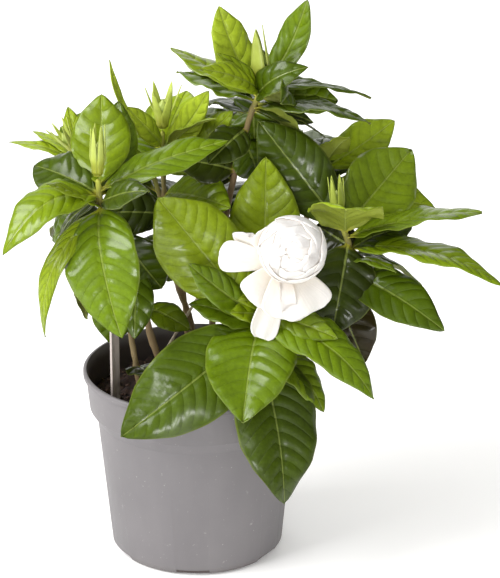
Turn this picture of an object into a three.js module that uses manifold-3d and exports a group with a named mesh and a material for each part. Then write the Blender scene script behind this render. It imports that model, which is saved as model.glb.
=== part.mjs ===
// Potted gardenia: a young shrub in a nursery pot, in millimetres, +Z up.
// The origin is the middle of the pot's underside. The open bloom faces -Y.
import * as THREE from "three";
import { mergeVertices } from "three/addons/utils/BufferGeometryUtils.js";
import Module from "manifold-3d";

const wasm = await Module();
wasm.setup();

// Driving dimensions of the pot. Its wall is vertical nowhere: it widens to a collar and a lip.
const POT_RIM_RADIUS = 65;
const POT_HEIGHT = 110;
const POT_WALL = 1.5;
const POT_FLOOR = 2.2;
const POT_BASE_RADIUS = 49.8;
const POT_FLAT_RADIUS = 44.3;
const POT_CORNER_RADIUS = 48.2;
const POT_CORNER_LOW = 0.9;
const POT_CORNER_HIGH = 3.4;
const COLLAR_FOOT_RADIUS = 57.2;
const COLLAR_FOOT_HEIGHT = 80.5;
const COLLAR_RADIUS = 61.6;
const COLLAR_HEIGHT = 87.5;
const LIP_UNDER_RADIUS = 63.4;
const LIP_UNDER_HEIGHT = 106;
const LIP_HEIGHT = 107;
const LIP_BEVEL = 0.7;
const POT_SIDES = 32;
const NOTCH_COUNT = 6;
const NOTCH_WIDTH = 19;
const NOTCH_HEIGHT = 3.6;
const NOTCH_LENGTH = 8;
const NOTCH_INNER_RADIUS = 46.4;
const NOTCH_TURN = -92;

// The small gap between pieces that touch, measured square to their faces and along the ground
const SEAT_GAP = 0.3;
const SIDE_GAP = 0.5;

// Driving dimensions of the soil
const SOIL_TOP = 93;
const SOIL_RIPPLE = 1.6;
const SOIL_BROAD_LUMPS = [0.31, 0.27];
const SOIL_NARROW_LUMPS = [0.55, -0.4];
const SOIL_NARROW_SHARE = 0.6;
const SOIL_RINGS = [56, 40, 20];
const SOIL_SIDES = 22;

// Driving dimensions of the plant label and the thin cane
const LABEL_LENGTH = 84;
const LABEL_WIDTH = 14;
const LABEL_THICKNESS = 1.2;
const LABEL_POINT = 14;
const LABEL_CORNER = 3;
const LABEL_MIDDLE = [-45.6, -19.5];
const LABEL_FOOT = 68;
const LABEL_TURN = 75.5;
const CANE_RADIUS = 0.9;
const CANE_FOOT = [-37, 14, 80];
const CANE_TOP = [2, 16, 148];
const CANE_SIDES = 8;

// Driving dimensions of the foliage. A leaf is widest where LEAF_SHOULDER and LEAF_FULLNESS put it.
const LEAF_THICKNESS = 0.8;
const LEAF_FOLD = 13;
const LEAF_ARCH = 0.09;
const LEAF_CROWN = 0.45;
const LEAF_SHOULDER = 0.96;
const LEAF_FULLNESS = 0.66;
const LEAF_CURL = 0.1;
const LEAF_WAVE = 0.05;
const LEAF_WAVES = 2.4;
const LEFT_WAVE_START = 2.6;
const RIGHT_WAVE_START = 0.9;
const LEAF_STALK = 0.048;
const STALK_HALF_WIDTH = 1.1;
const TIP_HALF_WIDTH = 0.4;
const LARGE_LEAF = 38;
const LARGE_LEAF_STATIONS = [0, 0.26, 0.5, 0.78, 1];
const SMALL_LEAF_STATIONS = [0, 0.34, 0.68, 1];
const STEM_SIDES = 6;

// The directions that the upper sides of the leaves turn to
const SKYWARD = [0, 0, 1];
const TILTED = [0, -0.35, 0.95];
const FORWARD = [0, -1, 0.3];
const HALF_FORWARD = [0, -0.7, 0.7];
const LEFT_FORWARD = [-0.5, -0.8, 0.3];
const LEFTWARD = [-1, -0.2, 0.4];
const LEFT_SKYWARD = [-0.35, 0, 1];
const RIGHT_FORWARD = [0.5, -0.8, 0.3];
const BACKWARD = [0, 0.7, 0.7];

// Driving dimensions of the unopened buds, as shares of a bud's height or width where they aren't in mm.
// A sepal's stations give its rise, its reach from the axis and its half width as a share of the bud's own.
const CALYX_SIDES = 6;
const SEPAL_STATIONS = [[0.3, 0.36, 0.95], [0.62, 0.5, 0.8]];
const SEPAL_INSIDE = 0.5;
const SEPAL_OUTSIDE = 0.4;
const CALYX_HEIGHT = 0.72;
const CALYX_PROFILE = [0.26, 0.34, 0.5, 0.44, 0.14];

// Driving dimensions of the bloom
const BLOOM_HEART = [50, -39, 188];
const BLOOM_AXIS = [0.05, -0.88, 0.45];
const BLOOM_TUBE = 13.4;
const TUBE_RADII = [1.8, 2.6, 6.5, 3];
const TUBE_SIDES = 8;
const HEART_RISE = 4;
const PETAL_FOOT_DROP = 3;
const PETAL_FOOT_REACH = 1;
const PETAL_THICKNESS = 0.9;
const PETAL_STATIONS = [0.12, 0.45, 0.8, 1];
const PETAL_PLACES = [-1, 0, 1];
const PETAL_ROLL = 9;
const PETAL_FOOT_SHARE = 0.14;
const PETAL_SWELL = 1.06;
const PETAL_WIDENING = 0.55;
const PETAL_ROUNDING = 0.8;
const PETAL_SQUARENESS = 12;
const PETAL_POINTING = 4;
const BALL_AXIS = [-0.1, -0.95, 0.25];
const BALL_MIDDLE = [54.3, -49, 200];
const BALL_FOOT = 0.4;
const BALL_SPIRAL = 0.06;
const BALL_FLARE = 0.5;
const BALL_TAPER = 0.55;
const BALL_EDGE = 6;
const BALL_BACK = 180;
const BALL_STATIONS = [0.2, 0.62, 1];
const CORE_RISE = 13.5;
const CORE_RADII = [3, 7, 9, 7, 4];

const radians = THREE.MathUtils.degToRad;
const vec = ([x, y, z]) => new THREE.Vector3(x, y, z);
const unit = (direction) => vec(direction).normalize();

const potPlastic = new THREE.MeshStandardMaterial({ color: 0x8a8587, roughness: 0.62, metalness: 0 });
const soilEarth = new THREE.MeshStandardMaterial({ color: 0x2e1d19, roughness: 1, metalness: 0 });
const labelPlastic = new THREE.MeshStandardMaterial({ color: 0xb7aaa2, roughness: 0.5, metalness: 0 });
const caneWood = new THREE.MeshStandardMaterial({ color: 0xe6dcc8, roughness: 0.7, metalness: 0 });
const leafGreen = new THREE.MeshStandardMaterial({ color: 0x3f6d16, roughness: 0.3, metalness: 0 });
const budGreen = new THREE.MeshStandardMaterial({ color: 0xa9bf4a, roughness: 0.45, metalness: 0 });
const petalWhite = new THREE.MeshStandardMaterial({ color: 0xf7f3ea, roughness: 0.6, metalness: 0 });

// A closed geometry as a solid that can be joined and cut
function solidOf(geometry) {
  const bare = geometry.clone();
  bare.deleteAttribute("normal");
  bare.deleteAttribute("uv");
  const merged = mergeVertices(bare, 1e-4);
  return new wasm.Manifold(new wasm.Mesh({
    numProp: 3,
    vertProperties: new Float32Array(merged.attributes.position.array),
    triVerts: new Uint32Array(merged.index.array),
  }));
}

// The corners of the largest connected skin of a mesh. It leaves out loose scraps, and the walls of hollows
// that joining has sealed, so that those are filled.
function largestSkin(corners, pointCount) {
  const parent = Array.from({ length: pointCount }, (_, point) => point);
  const rootOf = (point) => {
    let root = point;
    while (parent[root] !== root) root = parent[root];
    parent[point] = root;
    return root;
  };
  for (let corner = 0; corner < corners.length; corner += 3) {
    parent[rootOf(corners[corner])] = rootOf(corners[corner + 1]);
    parent[rootOf(corners[corner + 1])] = rootOf(corners[corner + 2]);
  }
  const skins = new Map();
  for (const corner of corners) {
    const root = rootOf(corner);
    if (!skins.has(root)) skins.set(root, []);
    skins.get(root).push(corner);
  }
  return [...skins.values()].sort((one, other) => other.length - one.length)[0];
}

// A solid back as a geometry
function geometryOf(solid) {
  const mesh = solid.getMesh();
  const geometry = new THREE.BufferGeometry();
  geometry.setAttribute("position", new THREE.BufferAttribute(new Float32Array(mesh.vertProperties), 3));
  geometry.setIndex(largestSkin(mesh.triVerts, mesh.vertProperties.length / 3));
  geometry.computeVertexNormals();
  return geometry;
}

// The rows of a sheet's two faces, closed round its edge. A row is a list of [lower, upper] points, and the
// last row may be a single point.
function sheetBody(rows) {
  const positions = [];
  const index = [];
  const numbers = rows.map((row) => row.map((pair) => pair.map((point) => {
    positions.push(...point.toArray());
    return positions.length / 3 - 1;
  })));
  const quad = (a, b, c, d) => index.push(a, b, c, a, c, d);
  const first = (row) => row[0];
  const last = (row) => row[row.length - 1];
  for (let count = 0; count < numbers.length - 1; count++) {
    const near = numbers[count];
    const far = numbers[count + 1];
    for (let column = 0; column < near.length - 1; column++) {
      const [a, d] = [near[column], near[column + 1]];
      if (far.length === 1) {
        index.push(a[0], far[0][0], d[0], a[1], d[1], far[0][1]);
      } else {
        const [b, c] = [far[column], far[column + 1]];
        index.push(a[0], b[0], c[0], a[0], c[0], d[0]);
        index.push(a[1], c[1], b[1], a[1], d[1], c[1]);
      }
    }
    quad(first(near)[0], first(near)[1], first(far)[1], first(far)[0]);
    quad(last(far)[0], last(far)[1], last(near)[1], last(near)[0]);
  }
  const foot = numbers[0];
  const end = last(numbers);
  for (let column = 0; column < foot.length - 1; column++) {
    quad(foot[column + 1][0], foot[column + 1][1], foot[column][1], foot[column][0]);
  }
  for (let column = 0; column < end.length - 1; column++) {
    quad(end[column][0], end[column][1], end[column + 1][1], end[column + 1][0]);
  }
  const geometry = new THREE.BufferGeometry();
  geometry.setAttribute("position", new THREE.Float32BufferAttribute(positions, 3));
  geometry.setIndex(index);
  return geometry;
}

// A round bar along a curve that changes radius from one end to the other
function taperedBar(curve, radii, sides, steps) {
  const frames = curve.computeFrenetFrames(steps, false);
  const positions = [];
  const index = [];
  for (let step = 0; step <= steps; step++) {
    const along = step / steps;
    const centre = curve.getPointAt(along);
    const slot = along * (radii.length - 1);
    const before = Math.min(Math.floor(slot), radii.length - 2);
    const radius = THREE.MathUtils.lerp(radii[before], radii[before + 1], slot - before);
    for (let side = 0; side < sides; side++) {
      const angle = (2 * Math.PI * side) / sides;
      const point = centre.clone();
      point.addScaledVector(frames.normals[step], radius * Math.cos(angle));
      point.addScaledVector(frames.binormals[step], radius * Math.sin(angle));
      positions.push(...point.toArray());
    }
  }
  const foot = positions.length / 3;
  positions.push(...curve.getPointAt(0).toArray(), ...curve.getPointAt(1).toArray());
  for (let side = 0; side < sides; side++) {
    const next = (side + 1) % sides;
    for (let step = 0; step < steps; step++) {
      const a = step * sides + side;
      const b = step * sides + next;
      index.push(a, b, b + sides, a, b + sides, a + sides);
    }
    index.push(foot, next, side);
    index.push(foot + 1, steps * sides + side, steps * sides + next);
  }
  const geometry = new THREE.BufferGeometry();
  geometry.setAttribute("position", new THREE.Float32BufferAttribute(positions, 3));
  geometry.setIndex(index);
  return geometry;
}

function stemCurve(route) {
  return new THREE.CatmullRomCurve3(route.map(vec), false, "catmullrom", 0.5);
}

// The point of a stem at a place counted in the points of its route
function stemPlace(route, place) {
  return stemCurve(route).getPoint(place / (route.length - 1));
}

// How far the leaf's edge is from the midrib, as a share of its greatest half width
function leafOutline(along, shoulder) {
  const blade = Math.max(0, (along - LEAF_STALK) / (1 - LEAF_STALK));
  return Math.max(0, Math.sin(Math.PI * blade ** shoulder)) ** LEAF_FULLNESS;
}

// A point on the middle surface of a leaf: along from 0 to 1, across from -1 to 1
function leafPoint(leaf, along, across) {
  const chord = leaf.tip.clone().sub(leaf.base);
  const length = chord.length();
  const forward = chord.normalize();
  const up = leaf.face.clone().addScaledVector(forward, -leaf.face.dot(forward)).normalize();
  const side = forward.clone().cross(up);
  const crown = leaf.base.clone().addScaledVector(forward, LEAF_CROWN * length);
  crown.addScaledVector(up, 2 * leaf.arch * length);
  const rib = new THREE.QuadraticBezierCurve3(leaf.base, crown, leaf.tip);
  const normal = side.clone().cross(rib.getTangent(along));
  const stalk = STALK_HALF_WIDTH * (1 - along) + TIP_HALF_WIDTH;
  const blade = leaf.wide * leafOutline(along, leaf.shoulder);
  const reach = Math.abs(across) * Math.max(blade / 2, stalk);
  const start = across > 0 ? RIGHT_WAVE_START : LEFT_WAVE_START;
  const wave = LEAF_WAVE * Math.sin(2 * Math.PI * LEAF_WAVES * along + start + leaf.tip.x);
  const point = rib.getPoint(along);
  point.addScaledVector(side, Math.sign(across) * reach * Math.cos(radians(leaf.fold)));
  point.addScaledVector(normal, reach * Math.sin(radians(leaf.fold)));
  point.addScaledVector(normal, (wave - LEAF_CURL) * blade * across * across);
  return { point, normal };
}

// The closed blade of a leaf, with its short stalk
function leafBody(leaf) {
  const stations = leaf.wide < LARGE_LEAF ? SMALL_LEAF_STATIONS : LARGE_LEAF_STATIONS;
  const rows = stations.map((along) => (along < 1 ? [-1, 0, 1] : [0]).map((across) => {
    const { point, normal } = leafPoint(leaf, along, across);
    const upper = point.clone().addScaledVector(normal, LEAF_THICKNESS / 2);
    const lower = point.clone().addScaledVector(normal, -LEAF_THICKNESS / 2);
    return [lower, upper];
  }));
  return solidOf(sheetBody(rows));
}

// One leaf of a shoot: its place on the stem, its tip, its greatest width, and what makes it differ.
// Its upper side turns as far as it can to the direction that face gives. The higher its shoulder, the nearer
// to its tip it is widest.
function leaf(place, tip, wide, special = {}) {
  const usual = { face: SKYWARD, arch: LEAF_ARCH, fold: LEAF_FOLD, shoulder: LEAF_SHOULDER };
  const own = { ...usual, ...special };
  return { ...own, place, tip: vec(tip), wide, face: vec(own.face) };
}

// The shoots. Each has a route from the soil to its growing end, its thicknesses and its leaves.
const shoots = [
  {
    name: "leafy_stem_left",
    route: [
      [-17, 6, 74], [-20, 6, 105], [-27, 5, 130], [-30, 4, 160],
      [-42, -8, 192], [-51, -17, 212], [-53, -20, 231],
    ],
    radii: [2.5, 1.7, 1.5],
    leaves: [
      leaf(5.7, [-52, 14, 269], 35, { arch: -0.1, shoulder: 1.15 }),
      leaf(5.5, [-90, 5, 230], 29, { face: HALF_FORWARD, shoulder: 1.25 }),
      leaf(5.4, [-104, -50, 197], 29, { face: TILTED, arch: 0.27, shoulder: 0.8 }),
      leaf(5, [-79, -50, 238], 15, { face: TILTED, arch: 0.04 }),
      leaf(5.6, [19, -5, 248], 25, { face: TILTED, arch: 0.05 }),
      leaf(5.2, [-24, -44, 232], 20, { face: HALF_FORWARD }),
      leaf(5.15, [-39, -62, 153], 44, { face: LEFT_SKYWARD, arch: 0.16, shoulder: 0.85 }),
      leaf(5, [-84, -32, 141], 14, { face: LEFT_FORWARD, arch: 0.28, shoulder: 0.7 }),
      leaf(4.8, [-81, 6, 185], 26, { face: LEFTWARD }),
      leaf(4.5, [-62, -10, 143], 32, { arch: 0.1 }),
      leaf(5.4, [-44, 26, 218], 34),
      leaf(4.2, [-19, 2, 157], 32, { face: FORWARD, shoulder: 1.2 }),
      leaf(3.3, [-34, -22, 136], 22, { arch: 0.12 }),
      leaf(2.5, [-3, -6, 135], 17, { face: HALF_FORWARD }),
    ],
  },
  {
    name: "leafy_stem_low_left",
    route: [[-30, -4, 74], [-33, -1, 100], [-38, 6, 130], [-42, 12, 160], [-43, 14, 172]],
    radii: [2.1, 1.3],
    leaves: [
      leaf(3.6, [-49, 6, 121], 30, { face: FORWARD, arch: 0.1 }),
      leaf(1.3, [-24, -25, 112], 22),
      leaf(3.9, [-78, 28, 160], 32),
      leaf(3.8, [-62, 30, 190], 24),
    ],
  },
  {
    name: "leafy_stem_far_left",
    route: [[-16, 34, 74], [-26, 38, 110], [-42, 44, 160], [-60, 46, 200], [-69, 45, 222]],
    radii: [2.2, 1.3],
    leaves: [
      leaf(3.7, [-109, 62, 225], 12),
      leaf(3.85, [-96, 72, 228], 12),
      leaf(3.55, [-75, 70, 244], 13, { face: HALF_FORWARD }),
      leaf(3.7, [-66, 90, 234], 28),
      leaf(3.3, [-48, 80, 208], 30),
      leaf(3, [-82, 40, 175], 30, { arch: 0.14 }),
      leaf(2.4, [-86, 82, 158], 36, { arch: 0.14 }),
    ],
  },
  {
    name: "leafy_stem_middle",
    route: [[1, 20, 74], [-3, 22, 125], [-12, 26, 155], [-18, 34, 200], [-19, 39, 240]],
    radii: [2.3, 1.3],
    leaves: [
      leaf(3.7, [-49, 54, 277], 7, { arch: -0.14 }),
      leaf(3.75, [-38, 18, 260], 15, { face: HALF_FORWARD, arch: 0.02 }),
      leaf(3.6, [8, 20, 269], 18, { face: HALF_FORWARD, arch: -0.03 }),
      leaf(3.6, [-6, 78, 251], 30),
      leaf(3.6, [12, 8, 257], 18),
      leaf(3.35, [21, 16, 258], 28, { face: HALF_FORWARD, arch: -0.04 }),
      leaf(3.7, [24, 62, 244], 30),
      leaf(3.05, [20, -13, 211], 34, { face: HALF_FORWARD }),
      leaf(3.5, [-42, 88, 230], 32),
      leaf(2, [-6, 66, 178], 28),
    ],
  },
  {
    name: "leafy_stem_top",
    route: [[6, 6, 74], [10, 12, 140], [18, 16, 200], [30, 15, 252], [38, 14, 273]],
    radii: [2.4, 1.4],
    leaves: [
      leaf(3.7, [14, 22, 317], 26, { face: RIGHT_FORWARD, arch: -0.09 }),
      leaf(3.75, [63, 26, 320], 20, { face: LEFT_FORWARD, arch: -0.1, shoulder: 1.2 }),
      leaf(3.55, [63, -4, 290], 20, { face: HALF_FORWARD, arch: 0.2, fold: 24 }),
      leaf(3.7, [-14, 44, 287], 24, { arch: 0.01 }),
      leaf(3.5, [-10, 24, 279], 33, { arch: 0.05 }),
      leaf(3.85, [4, -18, 293], 18, { face: HALF_FORWARD }),
      leaf(3.6, [48, -22, 275], 19, { face: RIGHT_FORWARD, arch: 0.3 }),
      leaf(3.3, [34, 24, 228], 32, { face: FORWARD, arch: 0.02 }),
      leaf(3.5, [60, 20, 238], 20, { face: BACKWARD, arch: 0.02 }),
      leaf(3.8, [100, 42, 258], 18),
      leaf(3.65, [81, 40, 257], 26, { face: HALF_FORWARD }),
      leaf(3.3, [98, -2, 257], 29),
      leaf(3.2, [74, 34, 237], 15),
      leaf(3.7, [30, 66, 282], 26),
      leaf(3.1, [44, 60, 252], 32),
      leaf(3.1, [12, 70, 246], 28),
      leaf(1.9, [16, 62, 202], 30),
      leaf(1.3, [10, 64, 142], 28, { arch: 0.12 }),
    ],
  },
  {
    name: "leafy_stem_bloom",
    route: [
      [14, -14, 74], [22, -22, 112], [31, -31, 138],
      [37, -35, 152], [42, -31, 165], [48.8, -25, 179.4],
    ],
    radii: [2.3, 1.8, 1.8, 2.4],
    leaves: [
      leaf(3.3, [40, -2, 237], 44, { face: FORWARD, arch: -0.16 }),
      leaf(2.9, [-20, -24, 221], 48, { face: FORWARD, arch: -0.08, shoulder: 1.3 }),
      leaf(3.1, [-3, -42, 189], 20, { face: HALF_FORWARD, arch: -0.04 }),
      leaf(3.2, [20, -50, 163], 14, { face: HALF_FORWARD }),
      leaf(2.9, [27, -90, 115], 52, { arch: 0.13, shoulder: 0.85 }),
      leaf(2.7, [-40, -74, 99], 50, { face: FORWARD, arch: 0.12 }),
      leaf(2.2, [50, -80, 61], 50, { arch: 0.14 }),
      leaf(2.9, [99, -70, 120], 32, { face: TILTED, arch: 0.21, shoulder: 0.88 }),
      leaf(3.3, [79, -60, 152], 20, { face: HALF_FORWARD }),
      leaf(3.4, [46, -60, 143], 16),
      leaf(2, [72, -54, 105], 30, { arch: 0.14 }),
      leaf(2.5, [-35, -70, 97], 34, { face: HALF_FORWARD, arch: 0.08, fold: 5 }),
    ],
  },
  {
    name: "leafy_stem_right",
    route: [[26, 2, 74], [46, 0, 112], [70, -1, 145], [87, -5, 178], [81, -7, 203]],
    radii: [2.3, 1.4],
    leaves: [
      leaf(3.7, [36, 10, 254], 38, { face: FORWARD, arch: -0.06, shoulder: 1.15 }),
      leaf(3.6, [83, -48, 223], 46, { arch: 0.05, fold: 22 }),
      leaf(3.7, [123, 30, 231], 43, { face: FORWARD, arch: -0.05, shoulder: 1.2 }),
      leaf(3.5, [160, -16, 210], 30, { arch: 0.05 }),
      leaf(3.2, [171, -34, 173], 33, { arch: 0.11, shoulder: 0.85 }),
      leaf(2.95, [112, -34, 181], 14),
      leaf(3.1, [132, 14, 145], 22, { arch: 0.14 }),
      leaf(2.7, [139, -42, 149], 30, { face: HALF_FORWARD, arch: 0.13 }),
      leaf(3.4, [77, -30, 142], 42, { face: FORWARD, arch: 0.1 }),
      leaf(2.4, [96, -14, 118], 32, { face: FORWARD, arch: 0.1 }),
    ],
  },
  {
    name: "leafy_stem_right_back",
    route: [[22, 22, 74], [42, 28, 130], [62, 30, 185], [72, 28, 222]],
    radii: [2.2, 1.3],
    leaves: [
      leaf(2.9, [88, 34, 237], 24, { face: BACKWARD }),
      leaf(2.95, [114, 50, 242], 27, { face: HALF_FORWARD, arch: -0.06, shoulder: 1.2 }),
      leaf(2.9, [74, 58, 229], 20),
      leaf(2.5, [137, 30, 196], 32, { face: HALF_FORWARD }),
      leaf(2.6, [87, 84, 216], 34),
      leaf(2.2, [120, 70, 184], 36, { arch: 0.14 }),
      leaf(1.8, [100, 46, 140], 36, { arch: 0.14 }),
    ],
  },
  {
    name: "leafy_stem_back_left",
    route: [[-6, 44, 74], [-7, 54, 120], [-16, 67, 168], [-30, 77, 212]],
    radii: [2.1, 1.3],
    leaves: [
      leaf(2.9, [-52, 104, 232], 28),
      leaf(2.95, [-14, 108, 238], 28),
      leaf(2.85, [-76, 104, 224], 32),
      leaf(2.8, [-32, 138, 206], 36),
      leaf(2.7, [6, 112, 206], 32),
      leaf(2.5, [-90, 100, 182], 36, { arch: 0.14 }),
      leaf(2.3, [-10, 132, 172], 36, { arch: 0.14 }),
      leaf(2.2, [-58, 128, 160], 36, { arch: 0.14 }),
      leaf(1.9, [-64, 78, 128], 34, { arch: 0.14 }),
      leaf(1.8, [-12, 108, 122], 37, { arch: 0.14 }),
    ],
  },
  {
    name: "leafy_stem_back_right",
    route: [[16, 42, 74], [26, 54, 120], [38, 66, 170], [44, 74, 214]],
    radii: [2.1, 1.3],
    leaves: [
      leaf(2.95, [56, 98, 256], 26),
      leaf(2.9, [16, 104, 238], 30),
      leaf(2.85, [88, 108, 212], 34),
      leaf(2.8, [48, 138, 210], 36),
      leaf(2.5, [110, 96, 176], 36, { arch: 0.14 }),
      leaf(2.4, [20, 126, 170], 36, { arch: 0.14 }),
      leaf(2.3, [72, 130, 158], 37, { arch: 0.14 }),
      leaf(1.9, [86, 60, 118], 34, { arch: 0.14 }),
      leaf(1.8, [34, 114, 112], 37, { arch: 0.14 }),
    ],
  },
];

// Fills in where each leaf leaves its stem
for (const shoot of shoots) {
  for (const one of shoot.leaves) one.base = stemPlace(shoot.route, one.place);
}

// The steps that a stem is made in: two for each stretch of its route
function stemSteps(shoot) {
  return 2 * (shoot.route.length - 1);
}

// A leafy stem as one solid: the tapered stem with the foot of each leaf sunk into it
function leafyStem(shoot) {
  const stem = taperedBar(stemCurve(shoot.route), shoot.radii, STEM_SIDES, stemSteps(shoot));
  return wasm.Manifold.union([solidOf(stem), ...shoot.leaves.map(leafBody)]);
}

// The unopened buds: a ribbed green calyx with long narrow sepals round the folded petals
const buds = [
  {
    name: "flower_bud_left", foot: [-53.1, -20.1, 231.9], lean: [0.03, -0.04, 1],
    height: 31, wide: 10, spread: 0.4, sepal: 1.9, sepals: 6,
  },
  {
    name: "flower_bud_far_left", foot: [-69.4, 45, 222.8], lean: [-0.45, -0.15, 0.85],
    height: 24, wide: 7, spread: 1.1, sepal: 1.4, sepals: 6,
  },
  {
    name: "flower_bud_middle", foot: [-19, 39.1, 240.6], lean: [0.02, -0.08, 1],
    height: 27, wide: 10, spread: 1.1, sepal: 2.6, sepals: 6,
  },
  {
    name: "flower_bud_top", foot: [38.2, 14, 274.1], lean: [-0.08, -0.08, 1],
    height: 36, wide: 9, spread: 0.3, sepal: 4, sepals: 3,
  },
  {
    name: "flower_bud_right", foot: [80.9, -7.1, 203.4], lean: [-0.1, -0.05, 1],
    height: 25, wide: 9, spread: 0.5, sepal: 2, sepals: 6,
  },
];

// One sepal of an upright bud, flat across its reach and drawn to a point
function sepalBody(bud, turn) {
  const out = new THREE.Vector3(Math.cos(turn), Math.sin(turn), 0);
  const side = new THREE.Vector3(-Math.sin(turn), Math.cos(turn), 0);
  const rows = [...SEPAL_STATIONS, [1, bud.spread, 0]].map(([rise, reach, breadth]) => {
    const half = breadth * bud.sepal;
    const middle = new THREE.Vector3(0, 0, rise * bud.height).addScaledVector(out, reach * bud.wide);
    return (half > 0 ? [-half, half] : [0]).map((across) => {
      const inner = middle.clone().addScaledVector(side, across).addScaledVector(out, -SEPAL_INSIDE);
      const outer = middle.clone().addScaledVector(side, across).addScaledVector(out, SEPAL_OUTSIDE);
      return [inner, outer];
    });
  });
  return solidOf(sheetBody(rows));
}

// An upright bud with its foot at the origin
function flowerBud(bud) {
  const top = new THREE.Vector3(0, 0, CALYX_HEIGHT * bud.height);
  const axis = new THREE.LineCurve3(new THREE.Vector3(), top);
  const radii = CALYX_PROFILE.map((share) => share * bud.wide);
  const parts = [solidOf(taperedBar(axis, radii, CALYX_SIDES, radii.length - 1))];
  for (let count = 0; count < bud.sepals; count++) {
    parts.push(sepalBody(bud, (2 * Math.PI * count) / bud.sepals));
  }
  return wasm.Manifold.union(parts);
}

// The bloom's open petals, from the outside in: the turn of each round the bloom's axis (0 is to the right,
// 90 to the back), its length and width, its angle from the axis at its foot and its tip, its cup across, and
// how far the corners of its end lie behind its tip, as a share of its length
const openPetals = [
  { turn: 172, length: 36.5, wide: 19, footAngle: 74, tipAngle: 92, cup: 0.12, point: 0.02 },
  { turn: 152, length: 33, wide: 13, footAngle: 76, tipAngle: 84, cup: 0.1, point: 0.34 },
  { turn: 252, length: 43, wide: 17, footAngle: 78, tipAngle: 98, cup: 0.12, point: 0 },
  { turn: 231, length: 28.5, wide: 27, footAngle: 72, tipAngle: 90, cup: 0.15, point: 0.04 },
  { turn: 300, length: 31.5, wide: 33, footAngle: 70, tipAngle: 90, cup: 0.12, point: 0 },
  { turn: 262, length: 32, wide: 22, footAngle: 64, tipAngle: 84, cup: 0.2, point: 0.02 },
  { turn: 124, length: 26, wide: 20, footAngle: 66, tipAngle: 44, cup: 0.25, point: 0.03 },
];

// The layers of petals that are still closed in a ball: their turns, half the angle that each petal takes
// round the ball, their distance from its middle, and the angle from its axis where they end
const ballLayers = [
  { turns: [70, 352, 282, 205, 140], halfAngle: 55, radius: 18.2, end: 60 },
  { turns: [350, 80, 170, 262], halfAngle: 60, radius: 15.2, end: 33 },
];

// How far a petal's edge is from its middle, as a share of its greatest half width. It widens from a narrow
// foot and rounds off close to the tip.
function petalOutline(along) {
  const rounded = Math.sqrt(1 - PETAL_ROUNDING * along ** PETAL_SQUARENESS);
  return Math.max(PETAL_FOOT_SHARE, PETAL_SWELL * along ** PETAL_WIDENING * rounded);
}

// The way out from an axis at a turn round it
function outward(axis, turn) {
  const right = new THREE.Vector3(1, 0, 0).addScaledVector(axis, -axis.x).normalize();
  return right.applyAxisAngle(axis, radians(turn));
}

// A point on the middle surface of an open petal: along from 0 to 1, across from -1 to 1
function openPetalPoint(petal, along, across) {
  const axis = unit(BLOOM_AXIS);
  const out = outward(axis, petal.turn);
  const side = axis.clone().cross(out);
  const heading = (angle) => axis.clone().multiplyScalar(Math.cos(radians(angle)))
    .addScaledVector(out, Math.sin(radians(angle)));
  const foot = vec(BLOOM_HEART).addScaledVector(axis, -PETAL_FOOT_DROP);
  foot.addScaledVector(out, PETAL_FOOT_REACH);
  const knee = foot.clone().addScaledVector(heading(petal.footAngle), petal.length / 2);
  const tip = knee.clone().addScaledVector(heading(petal.tipAngle), petal.length / 2);
  const middle = new THREE.QuadraticBezierCurve3(foot, knee, tip);
  const reach = along * (1 - petal.point * across * across * along ** PETAL_POINTING);
  const normal = side.clone().cross(middle.getTangent(reach));
  const half = (petal.wide / 2) * petalOutline(along);
  const roll = radians(PETAL_ROLL);
  const point = middle.getPoint(reach);
  point.addScaledVector(side, across * half * Math.cos(roll));
  point.addScaledVector(normal, across * half * Math.sin(roll) - petal.cup * half * across * across);
  return { point, normal };
}

// A point on the middle surface of a petal of the ball: it leaves the heart, wraps round, and lies over its
// neighbour on one side
function ballPetalPoint(layer, turn, along, across) {
  const axis = unit(BALL_AXIS);
  const out = outward(axis, turn);
  const side = axis.clone().cross(out);
  const roundBall = radians(layer.halfAngle) * across * Math.sqrt(1 - BALL_TAPER * along ** BALL_EDGE);
  const down = radians(THREE.MathUtils.lerp(BALL_BACK, layer.end, along));
  const normal = axis.clone().multiplyScalar(Math.cos(down));
  normal.addScaledVector(out, Math.sin(down) * Math.cos(roundBall));
  normal.addScaledVector(side, Math.sin(down) * Math.sin(roundBall));
  const reach = layer.radius * (1 + BALL_SPIRAL * across) + BALL_FLARE * along ** BALL_EDGE;
  const round = vec(BALL_MIDDLE).addScaledVector(normal, reach);
  const point = vec(BLOOM_HEART).lerp(round, THREE.MathUtils.smoothstep(along, 0, BALL_FOOT));
  return { point, normal };
}

// A petal's closed sheet, from its stations, its places across and the function that gives its points
function petalBody(stations, places, pointAt) {
  const rows = stations.map((along) => places.map((across) => {
    const { point, normal } = pointAt(along, across);
    const outer = point.clone().addScaledVector(normal, PETAL_THICKNESS / 2);
    const inner = point.clone().addScaledVector(normal, -PETAL_THICKNESS / 2);
    return [inner, outer];
  }));
  return solidOf(sheetBody(rows));
}

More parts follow.
